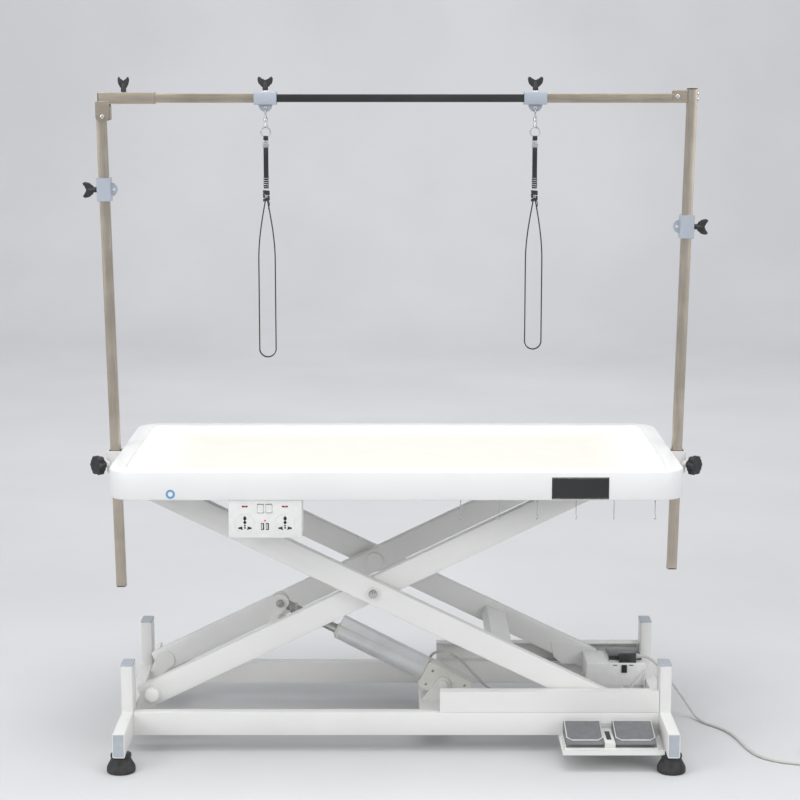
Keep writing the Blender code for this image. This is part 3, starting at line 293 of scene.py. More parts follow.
def piece(name, mesh, material, body, slot, *replaced):
    """A finished piece on its CAD body."""
    data = bpy.data.meshes.new(name)
    bmesh.ops.recalc_face_normals(mesh, faces=mesh.faces)
    mesh.to_mesh(data)
    mesh.free()
    obj = bpy.data.objects.new(name, data)
    bpy.context.scene.collection.objects.link(obj)
    data.materials.append(material)
    data.shade_smooth()
    data.set_sharp_from_angle(angle=math.radians(38))
    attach(obj, body)
    if replaced:
        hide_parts(*replaced)
    return obj


def merge(*meshes):
    whole = bmesh.new()
    for mesh in meshes:
        data = bpy.data.meshes.new("part")
        mesh.to_mesh(data)
        mesh.free()
        whole.from_mesh(data)
        bpy.data.meshes.remove(data)
    return whole


def stand(centre, along, up=None):
    """A frame at centre whose Z is `along`."""
    along = Vector(along).normalized()
    up = Vector(up) if up else (X if abs(along.z) > 0.9 else Z)
    side = up.cross(along).normalized()
    return Matrix.Translation(centre) @ Matrix((side, along.cross(side), along)).transposed().to_4x4()


def rounded_block(low, high, radius, segments=3, place=None):
    low, high = Vector(low), Vector(high)
    mesh = bmesh.new()
    size = Matrix.Diagonal((*(high - low), 1))
    bmesh.ops.create_cube(mesh, size=1, matrix=Matrix.Translation((low + high) / 2) @ size)
    bmesh.ops.bevel(mesh, geom=mesh.edges[:], offset=radius, segments=segments, profile=0.5, affect="EDGES")
    if place:
        mesh.transform(place)
    return mesh


def prism(outline, depth, place, edge=0.0, segments=2):
    """An outline in the frame's XY plane, `depth` thick about it, with its rims rounded by `edge`."""
    mesh = bmesh.new()
    rings = []
    for shift in (-depth / 2, depth / 2):
        rings.append([mesh.verts.new((x, y, shift)) for x, y in outline])
    caps = [mesh.faces.new(rings[0][::-1]), mesh.faces.new(rings[1])]
    for i in range(len(outline)):
        j = (i + 1) % len(outline)
        mesh.faces.new((rings[0][i], rings[0][j], rings[1][j], rings[1][i]))
    if edge:
        rims = list({e for cap in caps for e in cap.edges})
        bmesh.ops.bevel(mesh, geom=rims, offset=edge, segments=segments, profile=0.5, affect="EDGES")
    mesh.transform(place)
    return mesh


def turned(profile, place, steps=32):
    """A profile of (radius, height) turned about the frame's Z; a radius of 0 closes an end."""
    mesh = bmesh.new()
    rings = []
    for radius, height in profile:
        if radius < 1e-6:
            rings.append([mesh.verts.new((0, 0, height))])
        else:
            angles = (2 * math.pi * step / steps for step in range(steps))
            rings.append([mesh.verts.new((radius * math.cos(a), radius * math.sin(a),
                                          height)) for a in angles])
    for a, b in zip(rings, rings[1:]):
        for i in range(steps):
            j = (i + 1) % steps
            corners = [a[i % len(a)], a[j % len(a)], b[j % len(b)], b[i % len(b)]]
            mesh.faces.new(list(dict.fromkeys(corners)))
    mesh.transform(place)
    return mesh


def wire(points, radius, sides=10, closed=False, flat=None):
    """A round wire, or with flat=(half width, half thickness, width direction) a strap, along points."""
    points = [Vector(p) for p in points]
    mesh = bmesh.new()
    rings, normal = [], None
    count = len(points)
    for i, point in enumerate(points):
        before = points[i - 1] if (i or closed) else point
        after = points[(i + 1) % count] if (i < count - 1 or closed) else point
        along = (after - before).normalized()
        if flat:
            across = flat[2] - along * flat[2].dot(along)
            across.normalize()
            thick = along.cross(across)
            shape = [(-1, -0.6), (-0.85, -1), (0.85, -1), (1, -0.6), (1, 0.6), (0.85, 1), (-0.85, 1),
                     (-1, 0.6)]
            ring = [point + across * (flat[0] * u) + thick * (flat[1] * v) for u, v in shape]
        else:
            if normal is None:
                normal = along.orthogonal()
            normal = (normal - along * normal.dot(along)).normalized()
            other = along.cross(normal)
            ring = [point + (normal * math.cos(a) + other * math.sin(a)) * radius
                    for a in (2 * math.pi * s / sides for s in range(sides))]
        rings.append([mesh.verts.new(p) for p in ring])
    pairs = list(zip(rings, rings[1:])) + ([(rings[-1], rings[0])] if closed else [])
    for a, b in pairs:
        for i in range(len(a)):
            j = (i + 1) % len(a)
            mesh.faces.new((a[i], a[j], b[j], b[i]))
    if not closed:
        mesh.faces.new(rings[0][::-1])
        mesh.faces.new(rings[-1])
    return mesh


def smooth_route(points, per_span=8):
    knots = [Vector(p) for p in points]
    knots = [2 * knots[0] - knots[1], *knots, 2 * knots[-1] - knots[-2]]
    route = []
    for a, b, c, d in zip(knots, knots[1:], knots[2:], knots[3:]):
        for step in range(per_span):
            t = step / per_span
            route.append(0.5 * (2 * b + (c - a) * t + (2 * a - 5 * b + 4 * c - d) * t ** 2
                                + (3 * b - a - 3 * c + d) * t ** 3))
    route.append(knots[-2])
    return route


def circle_points(centre, radius, first, second, steps=28):
    return [centre + (first * math.cos(a) + second * math.sin(a)) * radius
            for a in (2 * math.pi * s / steps for s in range(steps))]


def polygon(radius, sides, turn=0.0):
    return [(radius * math.cos(a), radius * math.sin(a))
            for a in (turn + 2 * math.pi * s / sides for s in range(sides))]


def hex_screw(centre, outward, across, height, washer=True):
    """A hexagon head on its washer. centre is on the surface it sits on."""
    base = stand(centre, outward)
    head = prism(polygon(across / math.sqrt(3), 6), height,
                 base @ Matrix.Translation((0, 0, height / 2 + 0.0008)),
                 height * 0.16)
    if not washer:
        return head
    rim = across * 0.72
    plate = turned([(0, 0.0001), (rim, 0.0001), (rim, 0.0009), (rim * 0.96, 0.0013), (0, 0.0013)], base)
    return merge(head, plate)


def pan_screw(centre, outward, radius, height):
    """A domed head with a sunken ring, as on a cross-slotted screw."""
    return turned([(0, 0.0), (radius, 0.0), (radius, height * 0.35), (radius * 0.82, height * 0.8),
                   (radius * 0.45, height), (radius * 0.3, height * 0.55), (0, height * 0.5)],
                  stand(centre, outward), 24)


def square_cap(size, height, place):
    """A moulded tube plug: a lid with rounded corners and a slightly crowned face."""
    width, depth = size
    round_off = 0.0035
    mesh = bmesh.new()
    for grow, level in ((1.0, 0.0), (1.0, 0.7), (0.93, 0.95), (0.6, 1.0)):
        corners = []
        for turn in range(4):
            for step in range(4):
                a = math.pi / 2 * (turn + step / 3)
                cx = (width / 2 - round_off) * (1 if turn in (0, 3) else -1)
                cy = (depth / 2 - round_off) * (1 if turn in (0, 1) else -1)
                corners.append(mesh.verts.new(((cx + round_off * math.cos(a)) * grow,
                                               (cy + round_off * math.sin(a)) * grow, height * level)))
        if level == 0.0:
            mesh.faces.new(corners[::-1])
        else:
            for i in range(16):
                mesh.faces.new((last[i], last[(i + 1) % 16], corners[(i + 1) % 16], corners[i]))
        last = corners
    mesh.faces.new(last)
    mesh.transform(place)
    return mesh


def smoothing_group():
    """Welds a CAD node's split corners, then shades round faces smooth and real edges sharp."""
    group = bpy.data.node_groups.new("shade_by_angle", "GeometryNodeTree")
    group.interface.new_socket("Geometry", in_out="INPUT", socket_type="NodeSocketGeometry")
    group.interface.new_socket("Geometry", in_out="OUTPUT", socket_type="NodeSocketGeometry")
    nodes, links = group.nodes, group.links
    start, end = nodes.new("NodeGroupInput"), nodes.new("NodeGroupOutput")
    plain = nodes.new("GeometryNodeRemoveAttribute")
    plain.inputs["Name"].default_value = "custom_normal"
    weld = nodes.new("GeometryNodeMergeByDistance")
    weld.inputs["Distance"].default_value = 0.00001
    faces = nodes.new("GeometryNodeSetShadeSmooth")
    faces.domain = "FACE"
    edges = nodes.new("GeometryNodeSetShadeSmooth")
    edges.domain = "EDGE"
    angle = nodes.new("GeometryNodeInputMeshEdgeAngle")
    small = nodes.new("FunctionNodeCompare")
    small.data_type, small.operation = "FLOAT", "LESS_THAN"
    small.inputs[1].default_value = math.radians(35)
    links.new(angle.outputs["Unsigned Angle"], small.inputs[0])
    links.new(small.outputs["Result"], edges.inputs["Shade Smooth"])
    links.new(start.outputs[0], plain.inputs["Geometry"])
    links.new(plain.outputs["Geometry"], weld.inputs["Geometry"])
    links.new(weld.outputs["Geometry"], faces.inputs["Geometry"])
    links.new(faces.outputs["Geometry"], edges.inputs["Geometry"])
    links.new(edges.outputs["Geometry"], end.inputs[0])
    return group


# ---- Camera

def make_camera():
    data = bpy.data.cameras.new("camera")
    data.sensor_width, data.lens = 36.0, 89.97
    data.shift_x = 0.0047
    camera = bpy.data.objects.new("camera", data)
    camera.location = (0, -4.518, 1.5206)
    camera.rotation_euler = (math.radians(80.583), 0, 0)
    bpy.context.scene.collection.objects.link(camera)
    bpy.context.scene.camera = camera


# ---- Cords

def coil_points():
    """From the end of the free run round and up the coil: each layer's turns lie a diameter apart."""
    levels = [CORD_FLOOR + CORD_DIAMETER * k for k in range(3)]
    outer, middle, inner = COIL_RADII
    turns = [(outer, levels[0]), (middle, levels[0]), (inner, levels[0]),
             (inner, levels[1]), (middle, levels[1]), (outer, levels[1]),
             (outer, levels[2]), (middle, levels[2]), (inner, levels[2])]
    entry = (outer + CORD_DIAMETER + 0.0003, levels[0])
    steps, points = 24, []
    for index, (radius, level) in enumerate(turns):
        came = entry if index == 0 else (radius, level)
        onward = turns[index + 1] if index + 1 < len(turns) else (radius, level)
        last = len(turns) - 1
        for step in range(1 if index == 0 else 0, steps if index < last else steps // 4):
            share = step / steps
            r, z = radius, level
            if index == 0 and share < 0.2:
                ease = 0.5 - 0.5 * math.cos(math.pi * share / 0.2)
                r = came[0] + (radius - came[0]) * ease
            climb = min(1.0, max(0.0, (share - 0.6) / 0.4))
            z += (onward[1] - level) * (0.5 - 0.5 * math.cos(math.pi * climb))
            slip = min(1.0, max(0.0, (share - 0.35) / 0.5))
            r += (onward[0] - radius) * (0.5 - 0.5 * math.cos(math.pi * slip))
            angle = -math.pi / 2 + 2 * math.pi * share
            points.append(COIL_CENTRE + Vector((r * math.cos(angle), r * math.sin(angle), z)))
    return points


def cord_curve(name, points, diameter, material, body, slot, *replaced):
    data = bpy.data.curves.new(name, "CURVE")
    data.dimensions = "3D"
    data.bevel_depth, data.bevel_resolution = diameter / 2, 5
    data.use_fill_caps = True
    spline = data.splines.new("POLY")
    spline.points.add(len(points) - 1)
    for target, point in zip(spline.points, points):
        target.co = (*point, 1)
    spline.use_smooth = True
    data.materials.append(material)
    obj = bpy.data.objects.new(name, data)
    bpy.context.scene.collection.objects.link(obj)
    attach(obj, body)
    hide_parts(*replaced)
    return obj


def make_mains_cord():
    free = smooth_route(CORD_ROUTE, 6)
    tail = smooth_route([(PLUG_X, y, z) for y, z in CORD_TAIL], 4)
    points = free + coil_points() + tail
    cord = cord_curve("mains_lead", points, CORD_DIAMETER, CABLE_GREY, "base", "cable", "mains_cord",
                      "cord_coil")

    relief = turned([(0, 0.0), (0.0062, 0.0), (0.0062, 0.003), (0.0052, 0.0042), (0.0056, 0.0075),
                     (0.0047, 0.009),
                     (0.0051, 0.012), (0.0043, 0.0135), (0.0046, 0.0165), (0.0038, 0.0185), (0.0036, 0.024)],
                    stand(CORD_EXIT, X))
    relief = piece("lead_strain_relief", relief, CABLE_GREY, "base", "cable")

    grip = rounded_block((PLUG_X - 0.0138, PLUG_NEAR + 0.004, 0.0008),
                         (PLUG_X + 0.0138, PLUG_NEAR + 0.038, 0.0238), 0.004)
    neck = turned([(0, -0.0005), (0.0046, -0.0005), (0.0052, 0.004), (0.0044, 0.005), (0.0058, 0.01),
                   (0, 0.01)],
                  stand((PLUG_X, PLUG_NEAR - 0.004, 0.0122), Y))
    ribs = [rounded_block((PLUG_X + side * 0.0136 - 0.0003, PLUG_NEAR + 0.011 + 0.006 * k, 0.006),
                          (PLUG_X + side * 0.0136 + 0.0003, PLUG_NEAR + 0.013 + 0.006 * k, 0.019), 0.00025, 1)
            for side in SIDES for k in range(3)]
    plug = piece("lead_plug", merge(grip, neck, *ribs), BLACK_PLASTIC, "base", "black_plastic", "mains_plug")
    pins = [turned([(0, 0.0), (0.0024, 0.0), (0.0024, 0.0165), (0.0016, 0.0188), (0, 0.019)],
                   stand((PLUG_X + side * 0.0095, PLUG_NEAR + 0.0378, 0.012), Y), 20) for side in SIDES]
    pins = piece("plug_pins", merge(*pins), BRASS, "base", "bright_steel")

    middle = COIL_CENTRE + Vector((-0.036, 0, 0))
    loop = [(-0.0103, 0.00018), (0.0103, 0.00018), (0.0108, 0.004), (0.0108, 0.016), (0.0098, 0.02),
            (-0.0098, 0.02), (-0.0108, 0.016), (-0.0108, 0.004)]
    band = wire([middle + Vector((u, 0, v)) for u, v in loop], 0.0, closed=True, flat=(0.0035, 0.00015, Y))
    tie = piece("lead_tie", band, BLACK_PLASTIC, "base", "black_plastic")


def make_motor_cable():
    points = smooth_route(MOTOR_CABLE, 8)
    cable = cord_curve("motor_lead", points, 0.006, CABLE_GREY, "base", "cable", "motor_cable")


make_camera()
make_mains_cord()
make_motor_cable()


# ---- Finish of the CAD nodes that stay

FINISHES = {
    FRAME_WHITE: ["left_end_frame", "right_end_frame", "front_rail", "rear_rail", "actuator_beam",
                  "front_inner_arm", "rear_inner_arm", "inner_cross_tube", "front_outer_arm", "rear_outer_arm",
                  "outer_cross_tube", "front_top_channel", "rear_top_channel", "left_post_socket",
                  "right_post_socket"],
    TRAY_WHITE: ["table_tray"],
    PANEL_GLOW: ["light_panel"],
    STEEL_UPRIGHT: ["left_post", "right_post"],
    STEEL_LEVEL: ["crossbar_left", "crossbar_right", "corner_sleeve", "right_corner_bracket"],
    BLACK_PAINT: ["crossbar_centre"],
    STEEL_BRIGHT: ["actuator_rod", "upper_roller_axle"],
    WHITE_PLASTIC: ["socket_box", "control_box", "left_rocker", "right_rocker", "pedal_body"],
    CLAMP_BLUE: ["left_bar_clamp", "right_bar_clamp", "left_post_clamp", "right_post_clamp"],
    CREAM: ["actuator_housing", "front_lower_roller", "rear_lower_roller"],
    ALUMINIUM: ["actuator_tube"],
    BLACK_PLASTIC: ["left_star_knob", "right_star_knob", "thumb_screw", "left_bar_screw", "right_bar_screw",
                    "left_post_screw", "right_post_screw"],
    RUBBER: ["front_left_foot", "front_right_foot", "rear_left_foot", "rear_right_foot"],
    PAD_GREY: ["left_pedal", "right_pedal"],
    WEBBING: ["left_noose_strap", "right_noose_strap"],
}


def finish_nodes():
    shading = smoothing_group()
    for material, names in FINISHES.items():
        for name in names:
            node = NODES[name]
            for index in range(len(node.material_slots)):
                node.material_slots[index].link = "OBJECT"
                node.material_slots[index].material = material
            node.modifiers.new("shading", "NODES").node_group = shading
    bright = ("left_noose_hook", "right_noose_hook")
    for name in bright:
        for slot in NODES[name].material_slots:
            slot.link, slot.material = "OBJECT", STEEL_BRIGHT


finish_nodes()


# ---- Base details

def make_end_caps():
    """Plugs in the open ends of the two end rails and of the four corner posts."""
    rails, posts = [], []
    for side in SIDES:
        for end in SIDES:
            centre = Vector((end * END_RAIL_X, side * END_RAIL_HALF, RAIL_MIDDLE_Z))
            rails.append(square_cap((0.0262, 0.0532), 0.0001, stand(centre - Y * side * 0.0004, Y * side, Z)))
            top = Vector((end * END_RAIL_X, side * CORNER_POST_Y, POST_TOP_Z - 0.0002))
            posts.append(square_cap((0.027, 0.054), 0.0031, stand(top, Z, Y)))
    piece("rail_end_caps", merge(*rails), CAP_BLUE, "base", "grey_plastic")
    piece("post_top_caps", merge(*posts), CAP_BLUE, "base", "grey_plastic")


def make_feet():
    """Rubber levelling feet: a bell with a ribbed collar, around a threaded stud."""
    profile = [(0, 0.0), (0.029, 0.0), (0.0312, 0.002), (0.0315, 0.006), (0.0313, 0.011), (0.029, 0.0165),
               (0.0255, 0.0225), (0.0228, 0.028), (0.0215, 0.0325), (0.0222, 0.0335), (0.0226, 0.04),
               (0.0214, 0.0404), (0, 0.0404)]
    for end, end_name in zip(SIDES, ("left", "right")):
        for side, side_name in zip(SIDES, ("front", "rear")):
            centre = Vector((end * FOOT.x, side * FOOT.y, 0))
            bell = turned(profile, Matrix.Translation(centre), 48)
            grips = [rounded_block((-0.0008, 0.0208, 0.034), (0.0008, 0.023, 0.0392), 0.0004, 1,
                                   Matrix.Translation(centre) @ Matrix.Rotation(2 * math.pi * k / 20, 4, "Z"))
                     for k in range(20)]
            piece(f"{side_name}_{end_name}_levelling_foot", merge(bell, *grips), RUBBER, "base",
                  "foot_rubber",
                  f"{side_name}_{end_name}_foot")


def make_pivot_hardware():
    """The cap and the nut of the lower pivot, and the bolts at the scissor's centre."""
    cap = turned([(0.0, 0.0052), (0.009, 0.005), (0.015, 0.0034), (0.0175, 0.0002), (0, 0.0002)],
                 stand((PIVOT.x, -0.1582, PIVOT.z), -Y), 32)
    piece("pivot_cap", cap, WHITE_PLASTIC, "base", "white_plastic")
    nut = hex_screw((PIVOT.x, 0.1581, PIVOT.z), Y, 0.017, 0.006)
    piece("pivot_nut", nut, BRASS, "base", "bright_steel")
    heads = []
    for side in SIDES:
        heads.append(hex_screw((CENTRE.x, side * ARM_FACE, CENTRE.z), Y * side, 0.013, 0.0035, False))
        heads.append(turned([(0, 0.0), (0.0105, 0.0), (0.0105, 0.001), (0.0098, 0.0014), (0, 0.0014)],
                            stand((CENTRE.x, side * (ARM_FACE - 0.0001), CENTRE.z), Y * side)))
    piece("centre_bolts", merge(*heads), STEEL_BRIGHT, "inner_frame", "bright_steel")


def make_arm_gusset():
    """A folded plate on the inner face of the rear outer arm, over its lower roller."""
    outline = [(0.373, 0.155), (0.38, 0.118), (0.4, 0.1), (0.47, 0.0985), (0.474, 0.14)]
    place = stand((0, ARM_INNER_FACE, 0), Y, Z)
    gusset = prism([(-x, z) for x, z in outline], 0.0016, place, 0.0004, 1)
    piece("arm_gusset", gusset, FRAME_WHITE, "outer_frame", "white_paint")


make_end_caps()
make_feet()
make_pivot_hardware()
make_arm_gusset()


# ---- Actuator details

def make_actuator_details():
    along = (CLEVIS - MOTOR_PIVOT).normalized()
    above = along.cross(-Y)
    face = [(-0.046, -0.018), (0.036, 0.018), (0.036, -0.018), (-0.046, 0.02)]
    screws = [pan_screw(MOTOR_PIVOT + along * s + above * n - Y * 0.0225, -Y, 0.0034, 0.0016)
              for s, n in face]
    piece("housing_screws", merge(*screws), STEEL_BRIGHT, "actuator", "bright_steel")
    seam = [rounded_block((-0.056, -0.0002, -0.0008), (0.046, 0.0002, 0.0008), 0.00015, 1,
                          Matrix.Translation(MOTOR_PIVOT - Y * 0.0226 + above * n) @
                          Matrix((along, Y, above)).transposed().to_4x4()) for n in (-0.024, 0.026)]
    boss = turned([(0, 0.0), (0.015, 0.0), (0.015, 0.0008), (0.014, 0.0014), (0.0085, 0.0014),
                   (0.0085, 0.0004),
                   (0, 0.0004)], stand(MOTOR_PIVOT - Y * 0.0225, -Y), 40)
    piece("housing_trim", merge(boss, *seam), CREAM, "actuator", "cream_plastic")

    ribs = []
    for angle in range(-150, -29, 20):
        across = Y * math.cos(math.radians(angle)) + above * math.sin(math.radians(angle))
        centre = MOTOR_PIVOT + across * 0.0201
        ribs.append(wire([centre + along * 0.056, centre + along * 0.274], 0.0007, 6))
    for side in SIDES:
        for n in (0.02, 0.027, 0.034):
            start = MOTOR_PIVOT + Y * side * 0.0121 + above * n
            ribs.append(wire([start + along * 0.056, start + along * 0.274], 0.0006, 6))
    piece("tube_ribs", merge(*ribs), ALUMINIUM, "actuator", "bright_steel")
    collar = turned([(0.0128, 0.0), (0.0196, 0.0), (0.0206, 0.0012), (0.0206, 0.005), (0.0196, 0.0062),
                     (0.0128, 0.0062)], stand(MOTOR_PIVOT + along * 0.2698, along), 40)
    gland = turned([(0.0118, 0.0), (0.015, 0.0), (0.0145, 0.004), (0.0118, 0.0044)],
                   stand(MOTOR_PIVOT + along * 0.276, along), 32)
    piece("tube_collar", merge(gland, collar), CREAM, "actuator", "cream_plastic")

    eye = turned([(0.006, -0.0093), (0.0128, -0.0093), (0.0136, -0.008), (0.0136, 0.008), (0.0128, 0.0093),
                  (0.006, 0.0093)], stand(CLEVIS, Y), 32)
    nut = turned([(0.0112, 0.0), (0.0135, 0.0), (0.014, 0.001), (0.014, 0.007), (0.0135, 0.008),
                  (0.0112, 0.008)], stand(CLEVIS - along * 0.04, along), 6)
    piece("rod_fittings", merge(eye, nut), STEEL_BRIGHT, "actuator_rod", "bright_steel")
    pin = [hex_screw(CLEVIS + Y * side * 0.0216, Y * side, 0.013, 0.004) for side in SIDES]
    piece("clevis_bolts", merge(*pin), STEEL_BRIGHT, "inner_frame", "bright_steel")


make_actuator_details()


# ---- Control box, pedals and thin cables

def make_control_box_details():
    lid = rounded_block((0.505, 0.065, 0.1342), (0.583, 0.14, 0.145), 0.0022)
    piece("control_box_lid", lid, SMOKED, "base", "black_plastic")
    latch = rounded_block((0.532, 0.0352, 0.112), (0.545, 0.0384, 0.131), 0.001)
    dashes = [rounded_block((x, 0.0374, 0.129), (x + 0.01, 0.0381, 0.131), 0.0003, 1) for x in (0.512, 0.55)]
    piece("control_box_latch", merge(latch, *dashes), BLACK_PLASTIC, "base", "black_plastic")
    terminal = rounded_block((0.5268, 0.0428, 0.1342), (0.567, 0.0632, 0.1566), 0.0012, 2)
    piece("terminal_lid", terminal, SMOKED, "base", "black_plastic")
    screws = [pan_screw((x, y, 0.1384), Z, 0.0022, 0.001) for x, y in ((0.502, 0.047), (0.502, 0.138))]
    piece("lid_screws", merge(*screws), STEEL_BRIGHT, "base", "bright_steel")


def make_pedal_details():
    """Grey treads with white rims, and a thin black plate in the slot between them: painted shade in that gap.
    """
    for name, (low, high) in PEDALS.items():
        slope = (0.08 - 0.062) / (0.306 - 0.218)
        place = (Matrix.Translation(((low + high) / 2, -0.262, 0.0711))
                 @ Matrix.Rotation(math.atan(slope), 4, "X"))
        half_x, half_y = (high - low) / 2 - 0.0035, 0.0405
        outline = [(-half_x + 0.01, -half_y), (half_x - 0.01, -half_y), (half_x, -half_y + 0.012),
                   (half_x, half_y),
                   (-half_x, half_y), (-half_x, -half_y + 0.012)]
        tread = prism(outline, 0.0016, place @ Matrix.Translation((0, 0, 0.0007)), 0.0005)
        piece(f"{name}_pedal_tread", tread, PAD_GREY, f"{name}_pedal", "grey_plastic")
        rim = wire([place @ Vector((x * 1.035, y * 1.02, 0.0004)) for x, y in outline], 0.0013, 8,
                   closed=True)
        piece(f"{name}_pedal_rim", rim, WHITE_PLASTIC, f"{name}_pedal", "white_plastic")
    # Painted shade: a thin black plate at the bottom of the gap between the pedals.
    slot = rounded_block((0.4645, -0.29, 0.0597), (0.475, -0.235, 0.0606), 0.0004, 2)
    piece("pedal_gap_shade", slot, BLACK_PLASTIC, "base", "black_plastic")


def make_thin_cables():
    """Two thin leads from the right rail to the control box. The looped lead under the scissor is drawn by
    make_motor_cable.
    """
    paths = [smooth_route([(0.5893, 0.03, 0.118), (0.58, 0.03, 0.108), (0.565, 0.03, 0.09),
                           (0.5546, 0.03, 0.0765), (0.545, 0.031, 0.07), (0.53, 0.036, 0.08)]),
             smooth_route([(0.5893, 0.034, 0.124), (0.586, 0.033, 0.1), (0.585, 0.032, 0.0765),
                           (0.57, 0.034, 0.07), (0.55, 0.038, 0.082)])]
    piece("sensor_leads", merge(*[wire(path, 0.0013, 8) for path in paths]), WHITE_PLASTIC, "base", "cable")


make_control_box_details()
make_pedal_details()
make_thin_cables()


# ---- Top details

def make_name_plate():
    outline = [(-0.0616, -0.024), (0.0616, -0.024), (0.0616, 0.024), (-0.0616, 0.024)]
    place = stand((0.3971, APRON_FRONT - 0.0004, 0.628), -Y, Z)
    piece("name_plate", prism(outline, 0.0009, place, 0.0003, 1), BLACK_PAINT, "top", "black_plastic")
    rim = [place @ Vector((x * 0.965, y * 0.91, 0.0006)) for x, y in outline]
    piece("name_plate_line", wire(rim, 0.00028, 6, closed=True), STEEL_BRIGHT, "top", "bright_steel")
    disc = turned([(0, 0.0004), (0.0098, 0.0004), (0.01, 0.0002), (0.01, 0.0)],
                  stand((-0.487, APRON_FRONT, 0.615), -Y), 40)
    dot = turned([(0, 0.0006), (0.0052, 0.0006), (0.0054, 0.0003)], stand((-0.487, APRON_FRONT, 0.615), -Y),
                 32)
    piece("disc_label", disc, DISC_BLUE, "top", "white_plastic")
    piece("disc_label_dot", dot, WHITE_PLASTIC, "top", "white_plastic")


def make_wire_hooks():
    """Six bent wire hooks under the front apron, each in its eye."""
    hooks = []
    for index, x in enumerate((0.139, 0.223, 0.305, 0.389, 0.471, 0.56)):
        y = -0.2905
        turn = 0.25 * math.sin(index * 2.1)
        side = X * math.cos(turn + 1.2) + Y * math.sin(turn + 1.2)
        top = Vector((x, y, 0.602))
        eye = circle_points(top - Z * 0.0035, 0.0026, side, Z, 14)
        shank = [top - Z * 0.0062, top - Z * 0.0125, top - Z * 0.032]
        bend = [top - Z * 0.0355 + side * 0.0022, top - Z * 0.0395 + side * 0.004,
                top - Z * 0.043 + side * 0.0022,
                top - Z * 0.044 - side * 0.0012, top - Z * 0.0415 - side * 0.0036]
        coil = []
        for step in range(30):
            a = step * 0.9
            around = side * math.cos(a) + Y * math.sin(a)
            coil.append(top - Z * (0.0062 + 0.0062 * step / 29) + around * 0.0014)
        hooks += [wire(eye, 0.0007, 6, closed=True), wire(smooth_route(shank + bend, 4), 0.00085, 6),
                  wire(coil, 0.0005, 6)]
    piece("wire_hooks", merge(*hooks), STEEL_BRIGHT, "top", "bright_steel")


def make_socket_face():
    """Sockets, indicator slots and charging ports on the front of the socket box; their holes and openings are
    thin black marks, painted shade.
    """
    dark, red, rims = [], [], []
    out = -Y

    def on_face(x, z, lift=0.0002):
        return stand((x, SOCKET_FRONT - lift, z), out, Z)

    # Each mark is a thin black sheet on the face: painted shade in a hole, slot or port.
    def mark(outline, x, z, thickness=0.0005):
        dark.append(prism([(-u, v) for u, v in outline][::-1], thickness, on_face(x, z), 0.0001, 1))

    for x in (-0.3273, -0.2404):
        for z, radius in ((0.564, 0.002), (0.5605, 0.0037), (0.552, 0.0033), (0.5448, 0.0019),
                          (0.54, 0.0019)):
            mark(polygon(radius, 16), x, z)
        mark([(-0.001, -0.0075), (0.001, -0.0075), (0.001, 0.0075), (-0.001, 0.0075)], x, 0.556)
        for side in SIDES:
            lobe = [(0.0045, -0.0036), (0.0058, -0.0042), (0.009, -0.0024), (0.0138, -0.002),
                    (0.015, -0.0002),
                    (0.014, 0.0014), (0.0095, 0.0024), (0.0068, 0.0036), (0.0056, 0.003), (0.006, 0.0004)]
            shape = [(side * u, v) for u, v in lobe]
            mark(shape if side > 0 else shape[::-1], x, 0.5395)
        mark([(-0.006, -0.0017), (0.006, -0.0017), (0.0066, 0.0), (0.006, 0.0017), (-0.006, 0.0017),
              (-0.0066, 0.0)], x, 0.5872)
        red.append(prism([(-0.0022, -0.0013), (0.0022, -0.0013), (0.0022, 0.0013), (-0.0022, 0.0013)], 0.0004,
                         on_face(x + 0.0005, 0.5872, 0.0006), 0.0001, 1))
        rims.append(wire([on_face(x, 0.55) @ p for p in
                          circle_points(Vector(), 0.0215, X, Y, 48)], 0.00035, 6, closed=True))
    for x in (-0.2891, -0.2786):
        mark([(-0.0031, -0.0076), (0.0031, -0.0076), (0.0031, 0.0076), (-0.0031, 0.0076)], x, 0.543)
        rims.append(prism([(-0.0012, -0.0056), (0.0012, -0.0056), (0.0012, 0.0056), (-0.0012, 0.0056)],
                          0.0004,
                          on_face(x - 0.0007, 0.543, 0.0005), 0.0001, 1))
    red.append(turned([(0, 0.001), (0.0014, 0.0008), (0.002, 0.0)], on_face(-0.2838, 0.556), 20))
    piece("socket_hole_shade", merge(*dark), BLACK_PLASTIC, "top", "black_plastic")
    piece("indicator_lights", merge(*red), INDICATOR_RED, "top", "black_plastic")
    piece("socket_rims", merge(*rims), WHITE_PLASTIC, "top", "white_plastic")


make_name_plate()
make_wire_hooks()
make_socket_face()


# ---- Arch details

def post_point(end, z):
    return Vector((end * (ARCH_X + LEAN * (z - ARCH_Z)), 0, z))


def make_post_ends():
    ends = []
    for end in SIDES:
        up = (post_point(end, 1) - post_point(end, 0)).normalized()
        low = post_point(end, POST_LOW[end])
        ends.append(square_cap((0.0224, 0.0224), 0.0028, stand(low + up * 0.0026, -up, Y)))
        high = post_point(end, POST_HIGH[end])
        if end > 0:
            ends.append(square_cap((0.0222, 0.0222), 0.0025, stand(high - up * 0.0003, up, Y)))
    ends.append(square_cap((0.0254, 0.0254), 0.0024, stand((-0.6638, 0, BAR_Z), -X, Z)))
    piece("arch_caps", merge(*ends), BLACK_PLASTIC, "arch", "black_plastic")


def make_corner_hardware():
    """Rivets of the folding corners and the two screws outside the right post."""
    screws = []
    for side in SIDES:
        screws.append(pan_screw((-0.6565, side * 0.0155, 1.414), Y * side, 0.005, 0.0018))
        screws.append(pan_screw((0.627, side * 0.015, 1.459), Y * side, 0.0048, 0.0016))
    for z in (1.4525, 1.465):
        base = post_point(1, z) + X * 0.011
        screws.append(hex_screw(base, X, 0.0066, 0.0036, False))
    piece("corner_screws", merge(*screws), STEEL_BRIGHT, "arch", "bright_steel")
    flange = rounded_block((-0.64, -0.0125, 1.407), (-0.6385, 0.0125, 1.4365), 0.0005, 2)
    piece("corner_flange", flange, STEEL_LEVEL, "arch", "brown_steel")


